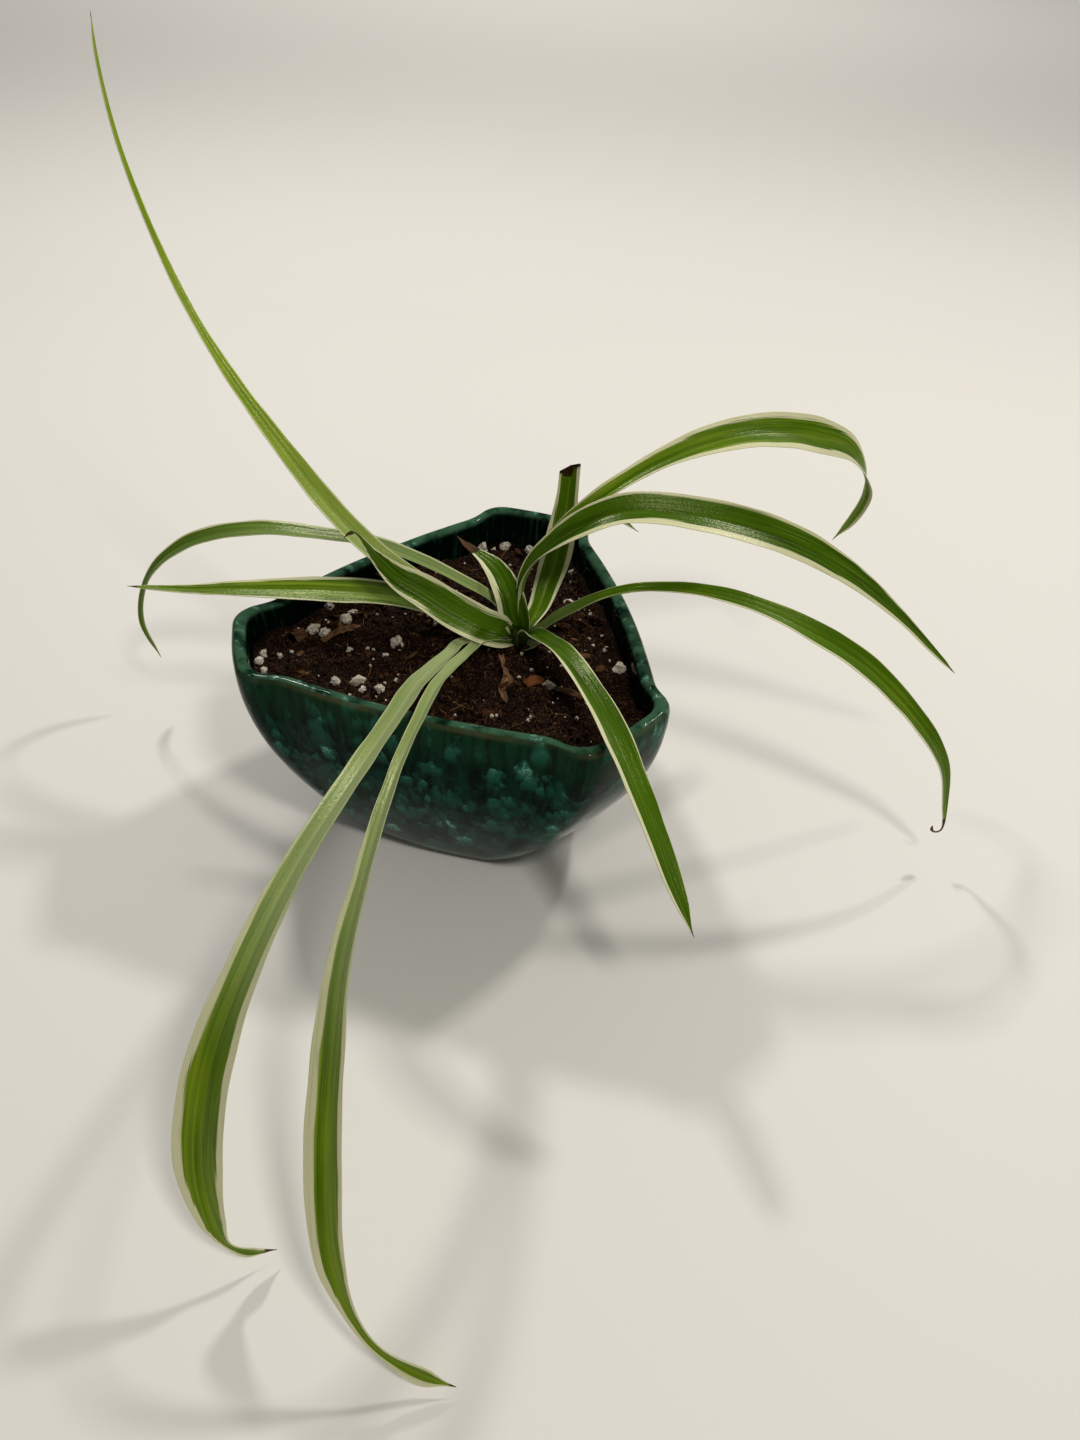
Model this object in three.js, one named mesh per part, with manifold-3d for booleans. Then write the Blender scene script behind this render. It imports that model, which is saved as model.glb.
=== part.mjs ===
// Spider plant in a three-cornered glazed pot.
// Millimetres, +Z up. The origin is the middle of the pot's flat base, X runs to the right
// and Y runs from the front of the pot to its back corner.

import * as THREE from 'three';
import { mergeVertices } from 'three/addons/utils/BufferGeometryUtils.js';
import Module from 'manifold-3d';

const wasm = await Module();
wasm.setup();

// ---------------------------------------------------------------- driving dimensions

const GAP = 0.3;                 // clearance between pieces that touch

// The pot in plan is a triangle with its corners cut off: three long sides, three short facets.
const POT = {
  height: 100,
  // At the rim, each facet's heading in degrees, its distance from the centre and its width:
  // the back one, the left one and the front right one.
  facets: [
    { turn: 74, reach: 107.6, width: 50 },
    { turn: 194.7, reach: 103.5, width: 50 },
    { turn: 314.7, reach: 104.5, width: 50 },
  ],
  baseReach: 0.504,              // the last two at the base, as shares of the rim's
  baseWidth: 1.04,
  reachCurve: 2.0,
  widthCurve: 0.8,
  rimBulge: 0.04,                // how far a long side bows out, as a share of its length
  baseBulge: 0.035,
  facetBulge: 0.03,
  flare: 5,                      // how far the corners of the rim stand out from the long sides
  flareRun: 0.13,                // and along what share of a side they do so
  rimCorner: 8,                  // how far the rounding runs along each side of a corner
  baseCorner: 10,
  wall: 6.5,
  wallUnderRim: 6.9,
  floor: 9,
};

// The soil's surface is nearly level and dips into the back corner.
const SOIL = { level: 87, dip: 5, dipFrom: 50, dipTo: 100, bump: 0.9 };

const CROWN = {
  x: 23.5, y: 3.5, root: 68, soil: SOIL.level, top: 97, radius: 6.4, topRadius: 3.8, lobes: 5,
};

// A blade's thickness at its rib and edge, the length of a step, how blunt the channel is
// along the rib, and the least width of a tip.
const BLADE = { rib: 0.95, edge: 0.65, step: 9, roundness: 0.25, tip: 1.2 };

const COLOUR = {
  glaze: '#0c4a35',
  soil: '#3a2317',
  crown: '#5d7d35',
  leaf: '#4f8a26',
  dry: '#7a5a3a',
  wood: '#6b4a30',
  chip: '#9a5a24',
};

// ---------------------------------------------------------------- shared helpers

const degrees = THREE.MathUtils.degToRad;
const lerp = THREE.MathUtils.lerp;

function heading(angle) {
  return new THREE.Vector3(Math.cos(degrees(angle)), Math.sin(degrees(angle)), 0);
}

// Seeded draw between 0 and 1, the same each time.
function makeDraw(seed) {
  let state = seed;
  return () => {
    state = (state * 1664525 + 1013904223) % 4294967296;
    return state / 4294967296;
  };
}

// A closed body from stacked rings of equal length, with a fan over each end.
function bodyFromRings(rings, startPoint, endPoint) {
  const count = rings[0].length;
  const points = rings.flat();
  const start = points.push(startPoint) - 1;
  const end = points.push(endPoint) - 1;
  const faces = [];
  for (let row = 0; row + 1 < rings.length; row += 1) {
    for (let i = 0; i < count; i += 1) {
      const a = row * count + i;
      const b = row * count + (i + 1) % count;
      faces.push(a, b, b + count, a, b + count, a + count);
    }
  }
  const last = (rings.length - 1) * count;
  for (let i = 0; i < count; i += 1) {
    const next = (i + 1) % count;
    faces.push(start, next, i);
    faces.push(end, last + i, last + next);
  }
  const geometry = new THREE.BufferGeometry().setFromPoints(points);
  geometry.setIndex(faces);
  return geometry;
}

function toSolid(geometry) {
  const bare = geometry.clone();
  bare.deleteAttribute('normal');
  bare.deleteAttribute('uv');
  const merged = mergeVertices(bare, 1e-4);
  const mesh = new wasm.Mesh({
    numProp: 3,
    vertProperties: new Float32Array(merged.attributes.position.array),
    triVerts: new Uint32Array(merged.index.array),
  });
  return new wasm.Manifold(mesh);
}

function toGeometry(solid) {
  const mesh = solid.getMesh();
  const geometry = new THREE.BufferGeometry();
  geometry.setAttribute('position', new THREE.Float32BufferAttribute(mesh.vertProperties, 3));
  geometry.setIndex(Array.from(mesh.triVerts));
  return geometry;
}

// Cuts leave crumbs: only the largest body of a solid is kept.
function largest(solid) {
  const bodies = solid.decompose();
  return bodies.reduce((best, body) => (body.volume() > best.volume() ? body : best));
}

const plant = new THREE.Group();

function addPiece(name, geometry, colour, roughness) {
  const finished = geometry.index ? geometry.toNonIndexed() : geometry;
  finished.computeVertexNormals();
  const material = new THREE.MeshStandardMaterial({ color: colour, roughness, metalness: 0 });
  const mesh = new THREE.Mesh(finished, material);
  mesh.name = name;
  plant.add(mesh);
}

// ---------------------------------------------------------------- pot

// One side of the plan between two corners, without its rounded ends. It bows outwards and
// lies back by flare from its ends. Its points stand closer together towards the ends.
function sidePoints(from, to, bulge, flare, corner, steps) {
  const along = to.clone().sub(from);
  const length = along.length();
  const outward = new THREE.Vector2(along.y, -along.x).divideScalar(length);
  const trim = corner / length;
  const points = [];
  for (let i = 0; i <= steps; i += 1) {
    const u = lerp(trim, 1 - trim, (1 - Math.cos(Math.PI * i / steps)) / 2);
    const back = flare * THREE.MathUtils.smoothstep(Math.min(u, 1 - u), 0, POT.flareRun);
    const bow = bulge * length * Math.sin(Math.PI * u) - back;
    points.push(from.clone().addScaledVector(along, u).addScaledVector(outward, bow));
  }
  return points;
}

// The pot's plan at height z, moved in by inset: 54 points, counter-clockwise.
function potOutline(z, inset) {
  const t = THREE.MathUtils.clamp(z / POT.height, 0, 1);
  const reachShare = 1 - (1 - POT.baseReach) * (1 - t) ** POT.reachCurve;
  const widthShare = 1 - (1 - POT.baseWidth) * (1 - t) ** POT.widthCurve;
  const corner = lerp(POT.baseCorner, POT.rimCorner, t);
  const sideBulge = lerp(POT.baseBulge, POT.rimBulge, t);

  const corners = POT.facets.flatMap((facet) => {
    const angle = degrees(facet.turn);
    const out = new THREE.Vector2(Math.cos(angle), Math.sin(angle));
    const across = new THREE.Vector2(-out.y, out.x);
    const middle = out.clone().multiplyScalar(facet.reach * reachShare - inset);
    const half = facet.width * widthShare / 2 - inset / Math.sqrt(3);
    return [middle.clone().addScaledVector(across, -half), middle.clone().addScaledVector(across, half)];
  });
  const sides = corners.map((from, i) => {
    const to = corners[(i + 1) % corners.length];
    const isFacet = i % 2 === 0;
    return isFacet
      ? sidePoints(from, to, POT.facetBulge, 0, corner, 4)
      : sidePoints(from, to, sideBulge, POT.flare * t, corner, 8);
  });

  const outline = [];
  sides.forEach((side, i) => {
    outline.push(...side);
    const start = side[side.length - 1];
    const end = sides[(i + 1) % sides.length][0];
    const bend = new THREE.QuadraticBezierCurve(start, corners[(i + 1) % corners.length], end);
    outline.push(bend.getPoint(1 / 3), bend.getPoint(2 / 3));
  });
  return outline.map((point) => new THREE.Vector3(point.x, point.y, z));
}

const WALL_LEVELS = [20, 33, 46, 60, 70, 78];

function makePot() {
  const { height, wall, wallUnderRim, floor } = POT;
  // Each pair is a height and how far the surface lies inside the pot's outline there.
  const outside = [[0, 3.2], [1.2, 1.0], [4, 0], [10, 0], ...WALL_LEVELS.map((z) => [z, 0])];
  const lip = [
    [SOIL.level, 0], [93, 0], [97.2, 0.2], [99.2, 1.3], [height, 3.2], [99.2, 5.2], [97, wall],
    [93, wallUnderRim], [SOIL.level, wallUnderRim],
  ];
  const inside = [...WALL_LEVELS].reverse().map((z) => [z, wall]);
  const profile = [...outside, ...lip, ...inside, [floor, wall]];
  const rings = profile.map(([z, inset]) => potOutline(z, inset));
  const under = new THREE.Vector3(0, 0, 0);
  const bottom = new THREE.Vector3(0, 0, floor);
  return bodyFromRings(rings, under, bottom);
}

// ---------------------------------------------------------------- soil

function soilHeight(x, y) {
  const { level, dip, dipFrom, dipTo, bump } = SOIL;
  const lumps = Math.sin(x * 0.21 + 1.3) * Math.cos(y * 0.17) + 0.6 * Math.sin(x * 0.43 - y * 0.37);
  return level - dip * THREE.MathUtils.smoothstep(y, dipFrom, dipTo) + bump * lumps;
}

// Grains of perlite that stand out: x, y and size. The rest are drawn by seed.
const BIG_GRAINS = [
  [-91, -16, 5], [-91, -23, 4.5], [-87, -32, 4], [-83, -17, 3], [-68, 23, 5], [-72, 5, 6.5],
  [-66, 0, 5], [-56, 19, 5], [-58, 12, 6.5], [-53, -10, 3.5], [-46, -32, 6], [-43, -38, 3.5],
  [-55, -36, 4.5], [-35, -39, 4], [-32, -5, 7], [-36, -14, 3.5], [0, 90, 7], [6, 92, 3.5],
  [12, 93, 6], [25, 90, 4.5], [47, 68, 4], [46, 40, 4.5], [70, -14, 6], [38, -29, 5.5], [28, -70, 3],
];
const SMALL_GRAINS = { count: 34, seed: 11, least: 1.8, most: 3.4, reach: 0.82 };

// A blunt lump with a triangulated surface, sunk by a third into what it lies on.
function makeGrain(x, y, size, draw) {
  const lump = new THREE.IcosahedronGeometry(size / 2, 0);
  lump.rotateX(draw() * Math.PI);
  lump.rotateZ(draw() * Math.PI);
  lump.scale(1, 0.7 + 0.3 * draw(), 0.75);
  lump.translate(x, y, soilHeight(x, y) + size * 0.12);
  return toSolid(lump);
}

function makeSoil(beds) {
  const levels = [POT.floor + GAP, ...WALL_LEVELS];
  const rings = levels.map((z) => potOutline(z, POT.wall + GAP));
  const topInset = POT.wallUnderRim + GAP;
  const rim = potOutline(SOIL.level, topInset)
    .map(({ x, y }, i) => potOutline(soilHeight(x, y), topInset)[i]);
  for (const share of [1, 0.94, 0.86, 0.77, 0.67, 0.56, 0.45, 0.33, 0.21, 0.1]) {
    rings.push(rim.map((point) => {
      const x = point.x * share;
      const y = point.y * share;
      return new THREE.Vector3(x, y, share === 1 ? point.z : soilHeight(x, y));
    }));
  }
  const under = new THREE.Vector3(0, 0, POT.floor + GAP);
  const middle = new THREE.Vector3(0, 0, soilHeight(0, 0));
  let soil = toSolid(bodyFromRings(rings, under, middle));

  const draw = makeDraw(SMALL_GRAINS.seed);
  const grains = BIG_GRAINS.map(([x, y, size]) => makeGrain(x, y, size, draw));
  for (let i = 0; i < SMALL_GRAINS.count; i += 1) {
    const edgePoint = rim[Math.floor(draw() * rim.length)];
    const share = SMALL_GRAINS.reach * Math.sqrt(draw());
    const size = lerp(SMALL_GRAINS.least, SMALL_GRAINS.most, draw());
    grains.push(makeGrain(edgePoint.x * share, edgePoint.y * share, size, draw));
  }
  const room = [60, SOIL.level, POT.height].map((z) => potOutline(z, topInset));
  const roomEnds = [60, POT.height].map((z) => new THREE.Vector3(0, 0, z));
  const insidePot = toSolid(bodyFromRings(room, ...roomEnds));
  for (const grain of grains) soil = soil.add(grain.intersect(insidePot));
  for (const bed of beds) soil = soil.subtract(bed);
  return largest(soil);
}

// ---------------------------------------------------------------- crown

// The leaf bases wrap into one short lobed stub. Its root plug narrows down into the soil.
function makeCrown(grow) {
  const profile = [
    [CROWN.root, 3], [CROWN.root + 6, 5], [CROWN.soil - 3, CROWN.radius],
    [CROWN.soil + 2, CROWN.radius], [CROWN.soil + 5, CROWN.radius * 0.9],
    [CROWN.top - 3, CROWN.topRadius + 1], [CROWN.top, CROWN.topRadius],
  ];
  const sides = 20;
  const rings = profile.map(([z, radius], row) => {
    const end = row === 0 ? -grow : row === profile.length - 1 ? grow : 0;
    return Array.from({ length: sides }, (_, i) => {
      const angle = i / sides * Math.PI * 2;
      const reach = radius * (1 + 0.08 * Math.cos(CROWN.lobes * angle)) + grow;
      const x = CROWN.x + reach * Math.cos(angle);
      const y = CROWN.y + reach * Math.sin(angle);
      return new THREE.Vector3(x, y, z + end);
    });
  });
  const foot = new THREE.Vector3(CROWN.x, CROWN.y, CROWN.root - grow);
  const tip = new THREE.Vector3(CROWN.x, CROWN.y, CROWN.top + grow);
  return bodyFromRings(rings, foot, tip);
}

// ---------------------------------------------------------------- leaves

// Each leaf: its heading from the crown, then points along its midrib as
// [x, y, z, width, roll, fold]. Roll turns the blade about its midrib and fold lifts
// each half into a channel, both in degrees.
const LEAVES = {
  leaf_tall_back_left: {
    heading: 152,
    points: [
      [21, 7, 86, 7, 0, 42], [-4.2, 8, 101.4, 9, 4, 30], [-20.1, 8.8, 110.8, 10.5, 8, 24],
      [-32.4, 10.5, 117.6, 11.4, 8, 22], [-42.9, 13.4, 124.1, 12, 8, 20], [-60.2, 22, 136.6, 12.6, 6, 18],
      [-78.7, 34, 152.2, 12, 2, 16], [-118.4, 60, 195.6, 7.5, -10, 16], [-139.6, 78, 227.4, 5.5, -15, 14],
      [-156.4, 93, 268.6, 3.8, -18, 14], [-162.4, 101, 301.2, 2.6, -20, 12],
      [-163, 105.5, 317, 1.3, -22, 8],
    ],
  },
  leaf_short_left: {
    heading: 187,
    points: [
      [20.5, 4, 87, 9, 20, 34], [15, 1.6, 92.6, 16.5, 36, 18], [6.5, -0.2, 96.8, 18.4, 36, 14],
      [-8.1, -0.3, 105.4, 18.2, 40, 12], [-20.7, 0.5, 113.8, 16, 44, 12], [-32.5, 0.5, 121.2, 12, 42, 12],
      [-41, -1, 132, 5.8, 40, 12], [-47, -2, 142, 1.8, 30, 8],
    ],
  },
  leaf_droop_left: {
    heading: 166,
    points: [
      [20, 8, 90, 6, 0, 40], [9.8, 12.4, 103, 7, 0, 34], [-4.8, 17, 109.4, 8.4, 2, 28],
      [-23.8, 22, 115.9, 9.2, 0, 22], [-47.5, 28, 120.8, 10.8, -2, 18], [-68, 31, 121.2, 12.2, -3, 16],
      [-105, 39, 117.6, 13.6, 4, 14], [-139.5, 47.5, 103.5, 11.5, 22, 14],
      [-164.5, 54, 79, 5.5, 45, 16], [-173, 56, 50, 5, 70, 18], [-167, 55, 28, 1.3, 85, 8],
    ],
  },
  leaf_level_left: {
    heading: 178,
    points: [
      [19, 6.5, 87, 7, 10, 42], [-9.5, 7, 98.5, 12, 14, 22], [-35, 8.5, 105, 13.8, 16, 14],
      [-64, 9, 106, 14.5, 20, 10], [-101, 10.5, 103.5, 10.5, 15, 9], [-135, 12, 100.5, 5, 13, 8],
      [-159, 13, 100, 1.3, 15, 6],
    ],
  },
  leaf_short_back: {
    heading: 98,
    points: [
      [23, 6, 87, 8, 0, 40], [22.4, 7.6, 93.6, 12.5, 0, 26], [20.4, 9.4, 98.8, 14.4, 0, 20],
      [18.6, 11.6, 105, 14.2, 2, 18], [15.9, 15.4, 109, 13.2, 5, 18], [12.6, 20.8, 111.8, 11.6, 6, 18],
      [8, 27.5, 113.6, 9.4, 8, 18], [2, 34.5, 114.2, 5.4, 10, 18], [-4.6, 41.5, 114.8, 3.4, 5, 20],
      [-9, 47.5, 115.6, 1.8, 0, 20],
    ],
  },
  leaf_upright_back: {
    heading: 65,
    points: [
      [25.5, 9, 86, 7, 0, 40], [32, 23, 93.6, 11, -10, 26], [35.6, 33, 101.6, 13.2, -15, 20],
      [38.8, 41, 112.4, 15, -20, 16], [41, 44.5, 125.4, 13.6, -20, 14], [42.5, 46, 142, 10.2, -18, 12],
      [43, 47, 156, 9.6, -15, 12],
    ],
  },
  leaf_long_right: {
    heading: 5,
    points: [
      [24.8, 8.5, 90, 5, 0, 48], [23.9, 12, 104, 5.4, -5, 50], [24.4, 12.5, 114, 6.2, -12, 48],
      [27.6, 12, 123.2, 7.6, -20, 44], [33, 10.8, 131.4, 9.6, -25, 38], [47, 8, 145, 14.4, -27, 28],
      [66.5, 10, 153.5, 17, -25, 22], [99.5, 12.5, 152, 18.2, -30, 18], [140, 16.5, 140.5, 17.2, -38, 16],
      [170.5, 20.5, 123.5, 12.6, -45, 14], [200.5, 22.5, 100.5, 6.8, -46, 14],
      [222, 25, 80, 4, -45, 12], [237, 26, 66, 1.3, -38, 8],
    ],
  },
  leaf_arch_back_right: {
    heading: 25,
    points: [
      [25.5, 9.5, 90, 5, 0, 46], [23.6, 17, 103, 5, 0, 50], [26.1, 18, 116.1, 6.4, 0, 46],
      [31.2, 18, 124.9, 7.6, 0, 42], [39.7, 18.3, 136.5, 9.2, 0, 38], [53.5, 19, 151, 11.2, 0, 30],
      [78.5, 30.5, 165, 13.4, -6, 22], [106, 42, 173, 18, -16, 18], [135, 56, 172.5, 20.6, -28, 16],
      [159.5, 68.5, 165.5, 18.6, -44, 14], [176.5, 78.5, 155.5, 13.2, -50, 14],
      [187.5, 82.5, 140, 9.5, -26, 12], [190.5, 85, 128, 7.5, 2, 12], [186, 83.5, 116.5, 6, 6, 12],
      [177, 78, 107, 1.3, 0, 8],
    ],
  },
  leaf_narrow_right: {
    heading: -12,
    points: [
      [27, 6.5, 87, 6, -20, 46], [34.8, 5.6, 93.6, 6.8, -22, 42], [43, 2.5, 103, 7.4, -22, 38],
      [68.5, -3, 121, 7.8, -3, 28], [97, -9.5, 127.5, 10, 0, 22], [123, -14.5, 125.5, 11.2, -6, 18],
      [149.5, -21, 117.5, 13.2, -14, 18], [174.5, -26, 104.5, 14, -19, 16],
      [200, -31.5, 83, 11, -27, 16], [218.5, -34.5, 59, 7, -40, 14], [225.5, -36, 34, 3.6, -45, 12],
      [227.5, -37, 22, 1.3, -48, 8],
    ],
  },
  leaf_front_right: {
    heading: -66,
    points: [
      [25, 1, 88, 7.5, 0, 46], [29, -4, 96, 10, 0, 38], [34, -15.5, 101.5, 11.5, 2, 30],
      [43, -35, 109.5, 11.2, 5, 22], [54, -60, 111, 12, 8, 18], [64, -84, 108, 13.4, 11, 16],
      [74, -108.5, 99.5, 12, 14, 14], [81.5, -125.5, 90.5, 10.5, 15, 14], [88, -139.5, 81.5, 9, 18, 12],
      [96, -154, 70, 1.3, 25, 8],
    ],
  },
  leaf_long_front_outer: {
    heading: 235,
    points: [
      [19, 2.5, 87.8, 5, 5, 44], [9, -2, 91.2, 5.6, 0, 34], [-2.7, -10, 93.2, 6.2, -3, 28],
      [-6, -20, 95.2, 6.8, -6, 26], [-11.8, -38, 99.2, 8.8, -12, 24], [-16.8, -60, 106, 10.2, -16, 22],
      [-20, -85, 113.2, 10.4, -20, 20], [-30.2, -125, 115.5, 11, -17, 18],
      [-43.2, -162.5, 110, 12.4, -15, 16], [-55, -197.5, 96.5, 15, -6, 14],
      [-64.5, -221, 73, 18.2, 10, 14], [-67.5, -238, 44, 18.4, 18, 14], [-63.5, -247.5, 26.5, 11, 27, 16],
      [-59.5, -250.5, 16.5, 3.8, 38, 18], [-53, -249.5, 10, 5.4, 65, 16], [-45, -246, 4.5, 1.3, 75, 8],
    ],
  },
  leaf_long_front_inner: {
    heading: 262,
    points: [
      [21.5, 1.5, 87.2, 5, 10, 44], [14, -1.8, 90, 5.2, 0, 36], [6.6, -7, 92.4, 5.8, -2, 32],
      [2.6, -18, 95, 6.6, -6, 30], [-1.7, -32, 98.8, 7.2, -10, 28], [-5.2, -47, 103.2, 7.6, -15, 26],
      [-7.8, -61, 107.4, 7.6, -20, 26], [-11, -90, 114, 7.2, -26, 24], [-15, -118.5, 116.4, 7.2, -31, 22],
      [-19.2, -155, 113, 9, -38, 20], [-24, -200, 99, 12.6, -36, 18], [-24.5, -224, 83, 15.4, -30, 16],
      [-24, -246, 61, 15.4, -23, 14], [-20.5, -265, 38, 11.6, -15, 14], [-13, -275.5, 23.5, 5.6, -16, 16],
      [-5, -281, 15.5, 3.6, 4, 18], [9, -284.5, 6.8, 6.2, 30, 14], [20, -286, 3, 1.3, 32, 8],
    ],
  },
  leaf_hidden_right: {
    heading: 32,
    points: [
      [25.8, 10, 92, 5, 0, 44], [24, 20.6, 104, 5, 0, 44], [26.9, 22.5, 114.4, 6, 0, 40],
      [31.6, 22.5, 123, 7, -3, 36], [40, 22, 134, 8, -5, 32], [52, 28, 141, 8.5, -12, 26],
      [65, 35, 136.5, 8, -18, 20], [76.5, 39.5, 127.5, 1.3, -20, 10],
    ],
  },
  leaf_young_left: {
    heading: 165,
    points: [
      [20, 9, 86, 4.5, 0, 40], [0, 15, 96, 5.5, 5, 30], [-22, 19.5, 102.5, 5, 8, 22],
      [-45, 24, 107, 1.3, 8, 10],
    ],
  },
};

// A closed blade swept along its midrib: an open channel of nearly even thickness.
function makeBlade(leaf, grow) {
  const route = new THREE.CatmullRomCurve3(
    leaf.points.map(([x, y, z]) => new THREE.Vector3(x, y, z)), false, 'centripetal');
  const shape = new THREE.CatmullRomCurve3(
    leaf.points.map(([, , , width, roll, fold]) => new THREE.Vector3(width, roll, fold)),
    false, 'catmullrom', 0.5);
  const sideways = heading(leaf.heading).cross(new THREE.Vector3(0, 0, 1));
  const steps = Math.max(10, Math.round(route.getLength() / BLADE.step));
  const stations = [-1, -0.55, 0, 0.55, 1];

  const rings = [];
  for (let i = 0; i <= steps; i += 1) {
    const t = i / steps;
    const centre = route.getPoint(t);
    const along = route.getTangent(t);
    const flatSide = sideways.clone().addScaledVector(along, -sideways.dot(along)).normalize();
    const flatUp = flatSide.clone().cross(along);
    const { x: width, y: roll, z: fold } = shape.getPoint(t);
    const side = flatSide.clone().applyAxisAngle(along, -degrees(roll));
    const up = flatUp.clone().applyAxisAngle(along, -degrees(roll));
    const end = i === 0 ? -grow : i === steps ? grow : 0;

    const face = (u, sign) => {
      const half = Math.max(width, BLADE.tip) / 2;
      const round = BLADE.roundness;
      const rise = (Math.hypot(u, round) - round) / (Math.hypot(1, round) - round);
      const thick = lerp(BLADE.rib, BLADE.edge, Math.abs(u)) / 2 + grow;
      const out = u * half * Math.cos(degrees(fold)) + Math.sign(u) * (Math.abs(u) === 1 ? grow : 0);
      return centre.clone()
        .addScaledVector(side, out)
        .addScaledVector(up, rise * half * Math.sin(degrees(fold)) + sign * thick)
        .addScaledVector(along, end);
    };
    const over = stations.map((u) => face(u, 1));
    const under = stations.map((u) => face(u, -1)).reverse();
    rings.push([...over, ...under]);
  }
  const middle = (ring) => ring[2].clone().lerp(ring[7], 0.5);
  return bodyFromRings(rings, middle(rings[0]), middle(rings[steps]));
}

// ---------------------------------------------------------------- litter on the soil

// A short twisted strip lying on the soil: points are [x, y, lift, width].
function makeStrip(points, thickness, curl, grow) {
  const route = new THREE.CatmullRomCurve3(
    points.map(([x, y, lift]) => new THREE.Vector3(x, y, soilHeight(x, y) + lift)),
    false, 'centripetal');
  const steps = (points.length - 1) * 3;
  const rings = [];
  for (let i = 0; i <= steps; i += 1) {
    const t = i / steps;
    const centre = route.getPoint(t);
    const along = route.getTangent(t);
    const side = along.clone().cross(new THREE.Vector3(0, 0, 1)).normalize();
    side.applyAxisAngle(along, curl * Math.sin(t * 5));
    const up = side.clone().cross(along);
    const at = t * (points.length - 1);
    const from = Math.min(Math.floor(at), points.length - 2);
    const width = lerp(points[from][3], points[from + 1][3], at - from);
    const end = i === 0 ? -grow : i === steps ? grow : 0;
    rings.push(Array.from({ length: 8 }, (_, k) => {
      const angle = -k / 8 * Math.PI * 2;
      return centre.clone()
        .addScaledVector(side, Math.cos(angle) * (width / 2 + grow))
        .addScaledVector(up, Math.sin(angle) * (thickness / 2 + grow))
        .addScaledVector(along, end);
    }));
  }
  const middle = (ring) => ring[0].clone().lerp(ring[4], 0.5);
  return bodyFromRings(rings, middle(rings[0]), middle(rings[steps]));
}

const LITTER = {
  dead_leaf: {
    points: [
      [16, -11.5, 3, 2.2], [17, -20.5, 2.4, 3], [20, -27.8, 2.6, 5], [18.3, -35, 1.8, 3.6],
      [20.8, -43, 1.4, 2],
    ],
    thickness: 1.2, curl: 0.7, colour: COLOUR.dry,
  },
  dry_leaf_piece: {
    points: [[-84.5, -4, 0.6, 5], [-82, -3, 2.4, 11], [-79, -2.5, 3, 10.5], [-76, -3, 2, 7], [-73.4, -4, 0.8, 3]],
    thickness: 1.4, curl: 0.6, colour: COLOUR.dry,
  },
  wood_strip: {
    points: [[-66.5, -4.5, 0.8, 3.5], [-63, -2.2, 1.8, 4.8], [-59, 0.4, 2.4, 5], [-55, 4, 1.8, 4], [-51.4, 7.6, 1, 1.8]],
    thickness: 1.8, curl: 0.2, colour: COLOUR.wood,
  },
  bark_chip: {
    points: [[28, -30, 0.8, 5], [32, -27, 1.8, 7], [35, -24.5, 0.8, 4]],
    thickness: 2.6, curl: 0.1, colour: COLOUR.chip,
  },
  bark_strip: {
    points: [[42, -31, 0.8, 3], [47, -34, 1.6, 4.5], [53, -36.5, 0.8, 2.5]],
    thickness: 2, curl: 0.2, colour: COLOUR.wood,
  },
};

// ---------------------------------------------------------------- assembly

addPiece('pot', makePot(), COLOUR.glaze, 0.15);

const crown = makeCrown(0);
const crownBed = toSolid(makeCrown(GAP));
addPiece('crown', crown, COLOUR.crown, 0.6);

// Leaf bases crowd together at the crown, so each gives way to the crown and to those before it.
const laid = [];
for (const [name, leaf] of Object.entries(LEAVES)) {
  let blade = toSolid(makeBlade(leaf, 0)).subtract(crownBed);
  for (const earlier of laid) {
    if (blade.intersect(earlier).volume() > 0) blade = blade.subtract(earlier);
  }
  addPiece(name, toGeometry(largest(blade)), COLOUR.leaf, 0.45);
  laid.push(toSolid(makeBlade(leaf, GAP)));
}

const beds = [crownBed];
for (const [name, piece] of Object.entries(LITTER)) {
  let strip = toSolid(makeStrip(piece.points, piece.thickness, piece.curl, 0)).subtract(crownBed);
  for (const earlier of laid) strip = strip.subtract(earlier);
  addPiece(name, toGeometry(largest(strip)), piece.colour, 0.8);
  beds.push(toSolid(makeStrip(piece.points, piece.thickness, piece.curl, GAP)));
}

addPiece('soil', toGeometry(makeSoil([...beds, ...laid])), COLOUR.soil, 0.95);

export default plant;
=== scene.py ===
# A potted spider plant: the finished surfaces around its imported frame.
# The tables below are in millimetres and degrees; every mesh is made in metres.
# +Z is up, the origin is the middle of the pot's flat base.

import math
from collections import namedtuple
from types import SimpleNamespace as Table

import bmesh
import bpy
import numpy as np
from mathutils import Matrix, Vector, noise


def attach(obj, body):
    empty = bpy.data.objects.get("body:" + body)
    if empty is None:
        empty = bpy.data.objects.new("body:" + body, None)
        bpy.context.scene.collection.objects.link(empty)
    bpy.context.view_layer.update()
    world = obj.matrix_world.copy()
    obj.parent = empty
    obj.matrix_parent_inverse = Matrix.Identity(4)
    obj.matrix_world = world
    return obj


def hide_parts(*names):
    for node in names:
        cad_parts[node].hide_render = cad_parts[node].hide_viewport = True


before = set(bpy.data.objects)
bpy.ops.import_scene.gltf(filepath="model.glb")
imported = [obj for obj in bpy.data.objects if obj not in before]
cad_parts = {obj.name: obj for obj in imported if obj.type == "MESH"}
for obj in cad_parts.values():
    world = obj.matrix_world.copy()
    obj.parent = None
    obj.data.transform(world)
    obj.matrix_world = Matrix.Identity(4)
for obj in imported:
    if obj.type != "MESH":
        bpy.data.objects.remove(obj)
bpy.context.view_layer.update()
SCENE = bpy.context.scene

MM = 0.001

# ---- driving dimensions

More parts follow.
